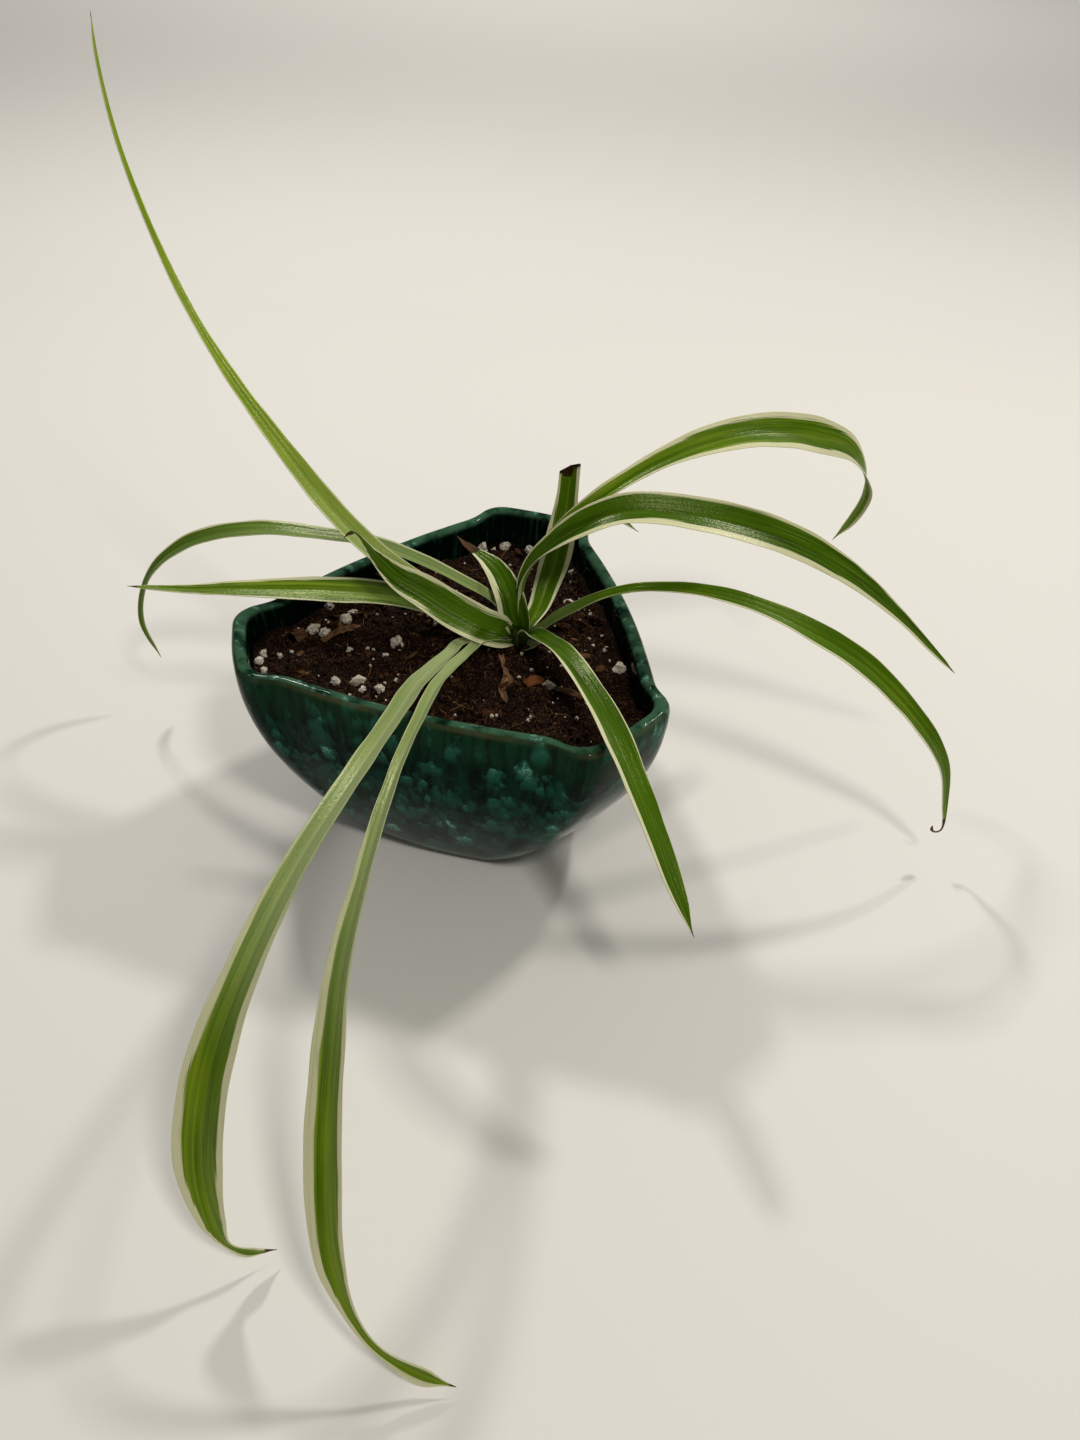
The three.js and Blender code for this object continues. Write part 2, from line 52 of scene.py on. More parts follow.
POT = Table(
    height=100,
    # Heading, distance from the centre and width of each short facet of the rim.
    facets=[(74, 107.6, 50), (194.7, 103.5, 50), (314.7, 104.5, 50)],
    base_reach=0.504, base_width=1.04, reach_curve=2, width_curve=0.8,
    rim_bulge=0.04, base_bulge=0.035, facet_bulge=0.03,
    flare=5, flare_run=0.13, rim_corner=8, base_corner=10,
    wall=6.5, floor=9,
)
SOIL = Table(level=87, dip=5, dip_from=50, dip_to=100, bump=0.9)
CROWN = Table(x=23.5, y=3.5, root=68, top=94, radius=5.6, top_radius=3, lobes=5)
BLADE = Table(rib=0.62, edge=0.24, step=1.3, roundness=0.25, tip=0.25)

# Each leaf: its heading from the crown, then points along its midrib as
# (x, y, z, width, roll, fold). Roll turns the blade about its midrib and fold lifts each half.
LEAVES = {
    "tall_back_left": (152, [
        (21, 7, 86, 7, 0, 42), (-4.2, 8, 101.4, 9, 4, 30), (-20.1, 8.8, 110.8, 10.5, 8, 24),
        (-32.4, 10.5, 117.6, 11.4, 8, 22), (-42.9, 13.4, 124.1, 12, 8, 20), (-60.2, 22, 136.6, 12.6, 6, 18),
        (-78.7, 34, 152.2, 12, 2, 16), (-118.4, 60, 195.6, 7.5, -10, 16), (-139.6, 78, 227.4, 5.5, -15, 14),
        (-156.4, 93, 268.6, 3.8, -18, 14), (-162.4, 101, 301.2, 2.6, -20, 12),
        (-163, 105.5, 317, 1.3, -22, 8),
    ]),
    "short_left": (187, [
        (20.5, 4, 87, 9, 20, 34), (15, 1.6, 92.6, 16.5, 36, 18), (6.5, -0.2, 96.8, 18.4, 36, 14),
        (-8.1, -0.3, 105.4, 18.2, 40, 12), (-20.7, 0.5, 113.8, 16, 44, 12), (-32.5, 0.5, 121.2, 12, 42, 12),
        (-41, -1, 132, 5.8, 40, 12), (-47, -2, 142, 1.8, 30, 8),
    ]),
    "droop_left": (166, [
        (20, 8, 90, 6, 0, 40), (9.8, 12.4, 103, 7, 0, 34), (-4.8, 17, 109.4, 8.4, 2, 28),
        (-23.8, 22, 115.9, 9.2, 0, 22), (-47.5, 28, 120.8, 10.8, -2, 18), (-68, 31, 121.2, 12.2, -3, 16),
        (-105, 39, 117.6, 13.6, 4, 14), (-139.5, 47.5, 103.5, 11.5, 22, 14),
        (-164.5, 54, 79, 5.5, 45, 16), (-173, 56, 50, 5, 70, 18), (-167, 55, 28, 1.3, 85, 8),
    ]),
    "level_left": (178, [
        (19, 6.5, 87, 7, 10, 42), (-9.5, 7, 98.5, 12, 14, 22), (-35, 8.5, 105, 13.8, 16, 14),
        (-64, 9, 106, 14.5, 20, 10), (-101, 10.5, 103.5, 10.5, 15, 9), (-135, 12, 100.5, 5, 13, 8),
        (-159, 13, 100, 1.3, 15, 6),
    ]),
    "short_back": (98, [
        (23, 6, 87, 8, 0, 40), (22.4, 7.6, 93.6, 12.5, 0, 26), (20.4, 9.4, 98.8, 14.4, 0, 20),
        (18.6, 11.6, 105, 14.2, 2, 18), (15.9, 15.4, 109, 13.2, 5, 18), (12.6, 20.8, 111.8, 11.6, 6, 18),
        (8, 27.5, 113.6, 9.4, 8, 18), (2, 34.5, 114.2, 5.4, 10, 18), (-4.6, 41.5, 114.8, 3.4, 5, 20),
        (-9, 47.5, 115.6, 1.8, 0, 20),
    ]),
    "upright_back": (65, [
        (25.5, 9, 86, 7, 0, 40), (32, 23, 93.6, 11, -10, 26), (35.6, 33, 101.6, 13.2, -15, 20),
        (38.8, 41, 112.4, 15, -20, 16), (41, 44.5, 125.4, 13.6, -20, 14), (42.5, 46, 142, 10.2, -18, 12),
        (43, 47, 156, 9.6, -15, 12),
    ]),
    "long_right": (5, [
        (24.8, 8.5, 90, 5, 0, 48), (23.9, 12, 104, 5.4, -5, 50), (24.4, 12.5, 114, 6.2, -12, 48),
        (27.6, 12, 123.2, 7.6, -20, 44), (33, 10.8, 131.4, 9.6, -25, 38), (47, 8, 145, 14.4, -27, 28),
        (66.5, 10, 153.5, 17, -25, 22), (99.5, 12.5, 152, 18.2, -30, 18), (140, 16.5, 140.5, 17.2, -38, 16),
        (170.5, 20.5, 123.5, 12.6, -45, 14), (200.5, 22.5, 100.5, 6.8, -46, 14),
        (222, 25, 80, 4, -45, 12), (237, 26, 66, 1.3, -38, 8),
    ]),
    "arch_back_right": (25, [
        (25.5, 9.5, 90, 5, 0, 46), (23.6, 17, 103, 5, 0, 50), (26.1, 18, 116.1, 6.4, 0, 46),
        (31.2, 18, 124.9, 7.6, 0, 42), (39.7, 18.3, 136.5, 9.2, 0, 38), (53.5, 19, 151, 11.2, 0, 30),
        (78.5, 30.5, 165, 13.4, -6, 22), (106, 42, 173, 18, -16, 18), (135, 56, 172.5, 20.6, -28, 16),
        (159.5, 68.5, 165.5, 18.6, -44, 14), (176.5, 78.5, 155.5, 13.2, -50, 14),
        (187.5, 82.5, 140, 9.5, -26, 12), (190.5, 85, 128, 7.5, 2, 12), (186, 83.5, 116.5, 6, 6, 12),
        (177, 78, 107, 1.3, 0, 8),
    ]),
    "narrow_right": (-12, [
        (27, 6.5, 87, 6, -20, 46), (34.8, 5.6, 93.6, 6.8, -22, 42), (43, 2.5, 103, 7.4, -22, 38),
        (68.5, -3, 121, 7.8, -3, 28), (97, -9.5, 127.5, 10, 0, 22), (123, -14.5, 125.5, 11.2, -6, 18),
        (149.5, -21, 117.5, 13.2, -14, 18), (174.5, -26, 104.5, 14, -19, 16),
        (200, -31.5, 83, 11, -27, 16), (218.5, -34.5, 59, 7, -40, 14), (225.5, -36, 34, 3.6, -45, 12),
        (227.5, -37, 22, 1.3, -48, 8),
    ]),
    "front_right": (-66, [
        (25, 1, 88, 7.5, 0, 46), (29, -4, 96, 10, 0, 38), (34, -15.5, 101.5, 11.5, 2, 30),
        (43, -35, 109.5, 11.2, 5, 22), (54, -60, 111, 12, 8, 18), (64, -84, 108, 13.4, 11, 16),
        (74, -108.5, 99.5, 12, 14, 14), (81.5, -125.5, 90.5, 10.5, 15, 14), (88, -139.5, 81.5, 9, 18, 12),
        (96, -154, 70, 1.3, 25, 8),
    ]),
    "long_front_outer": (235, [
        (19, 2.5, 87.8, 5, 5, 44), (9, -2, 91.2, 5.6, 0, 34), (-2.7, -10, 93.2, 6.2, -3, 28),
        (-6, -20, 95.2, 6.8, -6, 26), (-11.8, -38, 99.2, 8.8, -12, 24), (-16.8, -60, 106, 10.2, -16, 22),
        (-20, -85, 113.2, 10.4, -20, 20), (-30.2, -125, 115.5, 11, -17, 18),
        (-43.2, -162.5, 110, 12.4, -15, 16), (-55, -197.5, 96.5, 15, -6, 14),
        (-64.5, -221, 73, 18.2, 10, 14), (-67.5, -238, 44, 18.4, 18, 14), (-63.5, -247.5, 26.5, 11, 27, 16),
        (-59.5, -250.5, 16.5, 3.8, 38, 18), (-53, -249.5, 10, 5.4, 65, 16), (-45, -246, 4.5, 1.3, 75, 8),
    ]),
    "long_front_inner": (262, [
        (21.5, 1.5, 87.2, 5, 10, 44), (14, -1.8, 90, 5.2, 0, 36), (6.6, -7, 92.4, 5.8, -2, 32),
        (2.6, -18, 95, 6.6, -6, 30), (-1.7, -32, 98.8, 7.2, -10, 28), (-5.2, -47, 103.2, 7.6, -15, 26),
        (-7.8, -61, 107.4, 7.6, -20, 26), (-11, -90, 114, 7.2, -26, 24), (-15, -118.5, 116.4, 7.2, -31, 22),
        (-19.2, -155, 113, 9, -38, 20), (-24, -200, 99, 12.6, -36, 18), (-24.5, -224, 83, 15.4, -30, 16),
        (-24, -246, 61, 15.4, -23, 14), (-20.5, -265, 38, 11.6, -15, 14), (-13, -275.5, 23.5, 5.6, -16, 16),
        (-5, -281, 15.5, 3.6, 4, 18), (9, -284.5, 6.8, 6.2, 30, 14), (20, -286, 3, 1.3, 32, 8),
    ]),
    "hidden_right": (32, [
        (25.8, 10, 92, 5, 0, 44), (24, 20.6, 104, 5, 0, 44), (26.9, 22.5, 114.4, 6, 0, 40),
        (31.6, 22.5, 123, 7, -3, 36), (40, 22, 134, 8, -5, 32), (52, 28, 141, 8.5, -12, 26),
        (65, 35, 136.5, 8, -18, 20), (76.5, 39.5, 127.5, 1.3, -20, 10),
    ]),
    "young_left": (165, [
        (20, 9, 86, 4.5, 0, 40), (0, 15, 96, 5.5, 5, 30), (-22, 19.5, 102.5, 5, 8, 22),
        (-45, 24, 107, 1.3, 8, 10),
    ]),
}

# How each leaf is coloured: its cream margins as shares of a half blade, to the left and right of
# its heading, and where along it they grow to that; how ragged they are; how light the green is;
# how far the pale base is whole, where it ends and how strong it is; how long the brown tip is.
# On the long front leaves the pale base runs further and stronger than the leaf's own paler colour:
# there it is partly painted sheen.
Look = namedtuple("Look", "margins grow ragged light pale wash brown")
LOOKS = {
    "tall_back_left": ((0.14, 0.1), (10, 60), 0.1, 0.86, (60, 180), 0.45, 2),
    "short_left": ((0.26, 0.2), (0, 10), 0.34, 0.2, (0, 10), 0.2, 4),
    "droop_left": ((0.05, 0.18), (10, 60), 0.1, 0.5, (55, 220), 0.5, 2),
    "level_left": ((0.12, 0.22), (10, 60), 0.2, 0.55, (20, 120), 0.3, 4),
    "short_back": ((0.52, 0.09), (10, 40), 0.22, 0.14, (0, 10), 0.2, 15),
    "upright_back": ((0.26, 0.32), (0, 20), 0.16, 0.5, (0, 10), 0.3, 1.1),
    "long_right": ((0.14, 0.42), (0, 30), 0.12, 0.22, (6, 40), 0.35, 3),
    "arch_back_right": ((0.26, 0.38), (60, 130), 0.26, 0.55, (20, 60), 0.4, 2),
    "narrow_right": ((0.03, 0.2), (20, 80), 0.08, 0.45, (20, 60), 0.3, 14),
    "front_right": ((0.05, 0.28), (10, 50), 0.1, 0.24, (4, 30), 0.2, 2),
    "long_front_outer": ((0.32, 0.32), (150, 250), 0.16, 0.66, (190, 275), 0.9, 4),
    "long_front_inner": ((0.24, 0.44), (150, 240), 0.16, 0.7, (180, 280), 0.85, 2),
    "hidden_right": ((0.14, 0.18), (0, 30), 0.1, 0.35, (14, 24), 0.5, 2),
    "young_left": ((0.12, 0.14), (0, 30), 0.1, 0.45, (14, 24), 0.5, 2),
}
NARROWED = 0.25  # the margins' share of their full width before they grow

# ---- shared helpers

def lerp(low, high, share):
    return low + (high - low) * share


def smoothstep(value, low, high):
    share = np.clip((value - low) / (high - low), 0, 1)
    return share * share * (3 - 2 * share)


def unit(vectors):
    return vectors / np.linalg.norm(vectors, axis=-1, keepdims=True)


def rolled(side, up, angles):
    """The two directions, turned from sideways towards up."""
    cos, sin = np.cos(angles)[:, None], np.sin(angles)[:, None]
    return cos * side + sin * up, cos * up - sin * side


CENTRIPETAL, UNIFORM = 0.5, 0  # how far a curve counts the distances between its points


def catmull_rom(points, places, power):
    """Points of a Catmull-Rom curve. Places run from 0 to 1, evenly over its points."""
    points = np.asarray(points, float)
    ends = (2 * points[0] - points[1], 2 * points[-1] - points[-2])
    padded = np.vstack([ends[0], points, ends[1]])
    at = np.asarray(places) * (len(points) - 1)
    low = np.minimum(at.astype(int), len(points) - 2)
    u = (at - low)[:, None]
    p0, p1, p2, p3 = (padded[low + k] for k in range(4))
    pairs = ((p0, p1), (p1, p2), (p2, p3))
    d0, d1, d2 = (np.linalg.norm(b - a, axis=1, keepdims=True) ** power for a, b in pairs)
    leave = ((p1 - p0) / d0 - (p2 - p0) / (d0 + d1) + (p2 - p1) / d1) * d1
    arrive = ((p2 - p1) / d1 - (p3 - p1) / (d1 + d2) + (p3 - p2) / d2) * d1
    square = (3 * (p2 - p1) - 2 * leave - arrive) * u**2
    return p1 + leave * u + square + (2 * (p1 - p2) + leave + arrive) * u**3


def even_places(points, step):
    """Places along a centripetal curve that lie a step apart, and their distances."""
    fine = np.linspace(0, 1, 60 * len(points))
    gaps = np.linalg.norm(np.diff(catmull_rom(points, fine, CENTRIPETAL), axis=0), axis=1)
    travelled = np.concatenate([[0], np.cumsum(gaps)])
    distances = np.linspace(0, travelled[-1], max(6, round(travelled[-1] / step)) + 1)
    return np.interp(distances, travelled, fine), distances


def ring_faces(rows, count):
    """Quads between stacked rings, each closed round."""
    row, i = np.meshgrid(np.arange(rows - 1), np.arange(count), indexing="ij")
    a = row * count + i
    b = row * count + (i + 1) % count
    return np.stack([a, b, b + count, a + count], -1).reshape(-1, 4).tolist()


def closed_body(rings, start, end):
    """Points and faces of a body from stacked rings with a fan over each end."""
    rows, count = rings.shape[:2]
    points = np.vstack([rings.reshape(-1, 3), start, end])
    faces = ring_faces(rows, count)
    first, last = rows * count, rows * count + 1
    top = (rows - 1) * count
    for i in range(count):
        follow = (i + 1) % count
        faces.append([first, follow, i])
        faces.append([last, top + i, top + follow])
    return points, faces


def sheet(spine, moves, up, thick):
    """A thin closed body along a spine. Each move is a direction and how far each point lies that
    way. Thick is half the thickness, along up."""
    middle = spine[:, None] + sum(way[:, None] * far[..., None] for way, far in moves)
    depth = up[:, None] * thick[..., None]
    rings = np.concatenate([middle + depth, (middle - depth)[:, ::-1]], axis=1)
    return closed_body(rings, spine[:1], spine[-1:])


def sheet_layer(across, distance):
    """For each point of a sheet: how far it lies across and along, and 1 on the upper face."""
    rows, count = across.shape
    flat = np.concatenate([across, across[:, ::-1]], 1)
    far = np.repeat(distance[:, None], 2 * count, 1)
    upper = np.repeat([[1, 0]], count, 1) * np.ones((rows, 1))
    ends = [(0, distance[0], 1), (0, distance[-1], 1)]
    return np.vstack([np.stack([flat, far, upper], -1).reshape(-1, 3), ends])


def placed(name, data):
    """A new object in the scene."""
    thing = bpy.data.objects.new(name, data)
    SCENE.collection.objects.link(thing)
    return thing


def make_object(name, points, faces, layers=None):
    """A smooth object from points in millimetres. Layers are named vectors, one for each point."""
    mesh = bpy.data.meshes.new(name)
    mesh.from_pydata((np.asarray(points, float) * MM).tolist(), [], faces)
    for key, values in (layers or {}).items():
        layer = mesh.attributes.new(key, "FLOAT_VECTOR", "POINT")
        layer.data.foreach_set("vector", np.asarray(values, np.float32).ravel())
    mesh.shade_smooth()
    return placed(name, mesh)


def finish_piece(piece, slot, material, *nodes):
    piece.data.materials.append(material)
    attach(piece, "root")
    if nodes:
        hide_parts(*nodes)


class Heap:
    """Many small bodies gathered into one mesh. Every body has the same layers."""

    def __init__(self):
        self.points, self.faces, self.layers, self.size = [], [], {}, 0

    def add(self, points, faces, **layers):
        """Adds a body. A layer is one vector for all its points, or one for each."""
        self.points.append(points)
        self.faces.extend([i + self.size for i in face] for face in faces)
        for key, values in layers.items():
            self.layers.setdefault(key, []).append(np.broadcast_to(values, (len(points), 3)))
        self.size += len(points)

    def build(self, name):
        layers = {key: np.vstack(rows) for key, rows in self.layers.items()}
        return make_object(name, np.vstack(self.points), self.faces, layers)


def ball(subdivisions):
    """Unit points and triangles of an even ball."""
    bm = bmesh.new()
    bmesh.ops.create_icosphere(bm, subdivisions=subdivisions, radius=1)
    points = np.array([v.co[:] for v in bm.verts])
    faces = [[v.index for v in f.verts] for f in bm.faces]
    bm.free()
    return points, faces


def turned(points, rng):
    """The points turned by a random rotation."""
    axis = Vector(unit(rng.normal(size=3)))
    return points @ np.array(Matrix.Rotation(rng.uniform(0, math.tau), 3, axis))


def lumpy(points, scale, depth, offset):
    """How far each point moves out: smooth noise of the given scale and depth."""
    return np.array([noise.noise(Vector(p * scale) + offset) for p in points]) * depth


# ---- materials

def linear(code):
    """A hex colour as linear red, green and blue."""
    values = [int(code[i:i + 2], 16) / 255 for i in (1, 3, 5)]
    return tuple(v / 12.92 if v <= 0.04045 else ((v + 0.055) / 1.055) ** 2.4 for v in values) + (1,)


def palette(**codes):
    return Table(**{name: linear(code) for name, code in codes.items()})


class Shader:
    """Short names for the nodes of one material."""

    def __init__(self, name, roughness=0.5):
        self.material = bpy.data.materials.new(name)
        self.material.use_nodes = True
        self.nodes = self.material.node_tree.nodes
        self.links = self.material.node_tree.links
        self.surface = self.nodes["Principled BSDF"]
        self.surface.inputs["Roughness"].default_value = roughness

    def feed(self, node, inputs):
        """Links or sets the node's inputs, by name or number, and gives its outputs."""
        for key, value in inputs.items():
            if isinstance(value, bpy.types.NodeSocket):
                self.links.new(value, node.inputs[key])
            else:
                node.inputs[key].default_value = value
        return node.outputs

    def node(self, kind, inputs, **settings):
        """The outputs of a new node."""
        node = self.nodes.new(kind)
        for key, value in settings.items():
            setattr(node, key, value)
        return self.feed(node, inputs)

    def set(self, **values):
        self.feed(self.surface, {key.replace("_", " "): value for key, value in values.items()})

    def attribute(self, name):
        return self.node("ShaderNodeAttribute", {}, attribute_name=name)["Vector"]

    def position(self):
        return self.node("ShaderNodeNewGeometry", {})["Position"]

    def split(self, vector):
        return self.node("ShaderNodeSeparateXYZ", {0: vector})

    def join(self, x, y, z):
        return self.node("ShaderNodeCombineXYZ", {0: x, 1: y, 2: z})[0]

    def offset(self, place, start):
        return self.node("ShaderNodeVectorMath", {0: place, 1: start}, operation="SUBTRACT")[0]

    def math(self, operation, *values):
        return self.node("ShaderNodeMath", dict(enumerate(values)), operation=operation)[0]

    def times(self, a, b):
        return self.math("MULTIPLY", a, b)

    def plus(self, a, b):
        return self.math("ADD", a, b)

    def minus(self, a, b):
        return self.math("SUBTRACT", a, b)

    def swing(self, value, middle, strength):
        """How far the value is from the middle, times the strength."""
        return self.times(self.minus(value, middle), strength)

    def remap(self, value, low, high, to_low=0, to_high=1):
        """A smooth step of the value from low to high."""
        inputs = {"Value": value, "From Min": low, "From Max": high, "To Min": to_low, "To Max": to_high}
        return self.node("ShaderNodeMapRange", inputs, interpolation_type="SMOOTHSTEP")["Result"]

    def noise(self, vector, scale, detail=2, roughness=0.5):
        inputs = {"Vector": vector, "Scale": scale, "Detail": detail, "Roughness": roughness}
        return self.node("ShaderNodeTexNoise", inputs)[0]

    def cells(self, vector, scale):
        return self.node("ShaderNodeTexVoronoi", {"Vector": vector, "Scale": scale})

    def mix(self, a, b, share):
        """Between two colours."""
        return self.node("ShaderNodeMix", {0: share, 6: a, 7: b}, data_type="RGBA")[2]

    def paint(self, colour, *coats):
        """The colour under coats of paint. Each coat is a colour and its share."""
        for coat, share in coats:
            colour = self.mix(colour, coat, share)
        return colour

    def blend(self, a, b, share):
        """Between two numbers."""
        return self.node("ShaderNodeMix", {0: share, 2: a, 3: b})[0]

    def bump(self, height, distance, strength):
        inputs = {"Strength": strength, "Distance": distance, "Height": height}
        self.set(Normal=self.node("ShaderNodeBump", inputs)[0])


# ---- camera, floor and light

CAMERA = Table(place=(0.0352, -0.4382, 0.4), lens=29.125, down=39.1, roll=3.05)


def make_camera():
    """The camera looks along +Y and down, and is rolled a little."""
    data = bpy.data.cameras.new("camera")
    data.lens = CAMERA.lens
    data.sensor_width = 36
    data.clip_start = 0.01
    camera = placed("camera", data)
    tilt = Matrix.Rotation(math.radians(90 - CAMERA.down), 4, "X")
    roll = Matrix.Rotation(math.radians(CAMERA.roll), 4, "Z")
    camera.matrix_world = Matrix.Translation(CAMERA.place) @ tilt @ roll
    SCENE.camera = camera


FLOOR = Table(half=8000, colour="#f3f1ea", roughness=0.6)


def make_floor():
    half = FLOOR.half
    corners = [(-half, -half, 0), (half, -half, 0), (half, half, 0), (-half, half, 0)]
    floor = make_object("studio_floor", corners, [[0, 1, 2, 3]])
    shader = Shader("pale_floor", FLOOR.roughness)
    shader.set(Base_Color=linear(FLOOR.colour))
    floor.data.materials.append(shader.material)


MIDDLE = (0, 0, 0.08)
WARM = (1, 0.96, 0.91)
# Each lamp: where it stands, its side in metres, its power in watts, where it aims, its colour.
LAMPS = {
    "right": ((0.87, 0.73, 1.25), 0.14, 8.5, MIDDLE, WARM),
    "left": ((-0.51, 1, 1.25), 0.14, 8.5, MIDDLE, WARM),
    "front": ((0.55, -0.95, 1.55), 0.25, 9.5, MIDDLE, WARM),
    "far": ((0, 2.3, 2.4), 1, 55, (0, 5.5, 0.2), (1, 0.97, 0.93)),
}
WORLD = Table(colour=(0.9, 0.88, 0.85, 1), strength=0.2)


def make_lights():
    for name, (place, side, power, aim, colour) in LAMPS.items():
        data = bpy.data.lights.new(name, "AREA")
        data.size = side
        data.energy = power
        data.color = colour
        lamp = placed(name, data)
        lamp.location = place
        lamp.rotation_euler = (Vector(aim) - Vector(place)).to_track_quat("-Z", "Y").to_euler()
    world = bpy.data.worlds.new("studio")
    world.use_nodes = True
    background = world.node_tree.nodes["Background"]
    background.inputs["Color"].default_value = WORLD.colour
    background.inputs["Strength"].default_value = WORLD.strength
    SCENE.world = world
    SCENE.view_settings.view_transform = "Standard"


# ---- pot

SIDE_STEPS, FACET_STEPS, CORNER_STEPS = 40, 14, 7


def side_points(start, end, bulge, flare, corner, steps):
    """One side of the pot's plan between two corners, without its rounded ends."""
    along = end - start
    length = np.linalg.norm(along)
    outward = np.array([along[1], -along[0]]) / length
    trim = corner / length
    u = lerp(trim, 1 - trim, (1 - np.cos(np.linspace(0, math.pi, steps + 1))) / 2)
    back = flare * smoothstep(np.minimum(u, 1 - u), 0, POT.flare_run)
    bow = bulge * length * np.sin(math.pi * u) - back
    return start + u[:, None] * along + bow[:, None] * outward


def pot_outline(z, inset):
    """The pot's plan at height z, moved in by inset, counter-clockwise."""
    t = min(max(z / POT.height, 0), 1)
    reach_share = 1 - (1 - POT.base_reach) * (1 - t) ** POT.reach_curve
    width_share = 1 - (1 - POT.base_width) * (1 - t) ** POT.width_curve
    corner = lerp(POT.base_corner, POT.rim_corner, t)
    bulge = lerp(POT.base_bulge, POT.rim_bulge, t)
    corners = []
    for turn, reach, width in POT.facets:
        angle = math.radians(turn)
        out = np.array([math.cos(angle), math.sin(angle)])
        across = np.array([-out[1], out[0]])
        half = width * width_share / 2 - inset / math.sqrt(3)
        middle = out * (reach * reach_share - inset)
        corners += [middle - across * half, middle + across * half]
    ends = corners[1:] + corners[:1]
    facet = (POT.facet_bulge, 0, corner, FACET_STEPS)
    wall = (bulge, POT.flare * t, corner, SIDE_STEPS)
    kinds = [facet, wall] * len(POT.facets)
    sides = [side_points(start, end, *kind) for start, end, kind in zip(corners, ends, kinds)]
    outline = []
    u = (np.arange(1, CORNER_STEPS) / CORNER_STEPS)[:, None]
    for side, bend, after in zip(sides, ends, sides[1:] + sides[:1]):
        outline += [side, (1 - u) ** 2 * side[-1] + 2 * u * (1 - u) * bend + u**2 * after[0]]
    flat = np.vstack(outline)
    return np.column_stack([flat, np.full(len(flat), float(z))])


# The pot's section as (height, inset): up the outside, over the lip and down the inside.
OUTSIDE = [(0, 3.4), (0.5, 2), (1.6, 0.9), (4, 0.15), (9, 0)] + [(z, 0) for z in range(12, 95, 2)]
LIP = [
    (95.5, 0.02), (97, 0.08), (98.1, 0.3), (99, 0.8), (99.6, 1.5), (99.9, 2.4), (100, 3.4),
    (99.85, 4.4), (99.4, 5.3), (98.7, 5.9), (97.7, 6.3), (96.4, 6.6), (94.5, 6.8),
]
INSIDE = [(z, 6.8) for z in (92, 89, 86, 83, 80)] + [(z, POT.wall) for z in (72, 60, 45, 30, 18)]
INNER_FLOOR = [(12, 7.5), (10, 9.5), (9, 13)]
INNER_MIDDLE = 20  # the inset that the middle of the inner floor counts as
RIPPLE_FROM = (0, 6)  # the heights over which the wall's unevenness sets in


def wall_ripple(points):
    """Slow unevenness of the moulded wall, in millimetres along its outward normal."""
    return np.array([noise.noise(Vector(p) * 0.028) + 0.4 * noise.noise(Vector(p) * 0.09)
                     for p in points]) * 0.35


def make_pot():
    middle = pot_outline(POT.height / 2, 0)
    rings, columns = [], []
    for z, inset in OUTSIDE + LIP + INSIDE + INNER_FLOOR:
        ring = pot_outline(z, inset)
        ring[:, :2] += unit(ring[:, :2]) * wall_ripple(ring)[:, None] * smoothstep(z, *RIPPLE_FROM)
        rings.append(ring)
        columns.append(np.column_stack([middle[:, :2], np.full(len(middle), inset)]))
    points, faces = closed_body(np.array(rings), [(0, 0, 0)], [(0, 0, POT.floor)])
    column = np.vstack([*columns, (0, 0, 0), (0, 0, INNER_MIDDLE)])
    pot = make_object("glazed_pot", points, faces, {"column": column})
    finish_piece(pot, "glaze", glaze_material(), "pot")


GLAZE = palette(
    deep="#000d05", mid="#032616", shoulder="#0e3d22", mottle="#2a6d5b", pale_mottle="#72a898",
    lip="#3b5f47", breaking="#5c5a40", clay="#b9a284",
)
# Where each change of the glaze starts and where it is complete: heights, then insets.
HEIGHTS = Table(
    shoulder=(74, 97), crowd=(94, 44), lip=(96, 98.6), drip=(93, 96),
    edge=(93, 95), sheen=(66, 34), foot=(0.7, 0.3),
)
INSETS = Table(lip=(0.9, 1.9), edge_starts=(0, 0.5), edge_ends=(2, 0.8), inside=(5.6, 6.5))
MOTTLE_SIZES = (14, 10, 6.5)


def mottle_layer(s, place, size, chance):
    """Cloudy spots of one size, as a number, bright at the top and fading downwards: painted highlight on
    each raised spot.
    """
    scale = 1 / (size * MM)
    lobes = s.cells(place, scale * 2.6)["Distance"]
    frays = s.noise(place, scale * 3.2)
    cells = s.cells(place, scale)
    red, green, blue = s.split(cells["Color"])
    away = s.plus(cells["Distance"], s.swing(lobes, 0.4, 0.42))
    away = s.plus(away, s.swing(frays, 0.5, 0.4))
    radius = s.plus(s.times(red, 0.24), 0.36)
    body = s.remap(s.math("DIVIDE", away, radius), 1.15, 0.6)
    present = s.math("GREATER_THAN", s.plus(green, chance), 1)
    # Painted highlight and shade: each spot is lighter at its top and darker lower down.
    up = s.split(s.offset(place, cells["Position"]))[2]
    lift = s.remap(up, -0.5 * size * MM, 0.34 * size * MM, 0.1, 1)
    strength = s.plus(s.times(blue, 0.8), 0.3)
    return s.times(s.times(body, present), s.times(lift, strength))


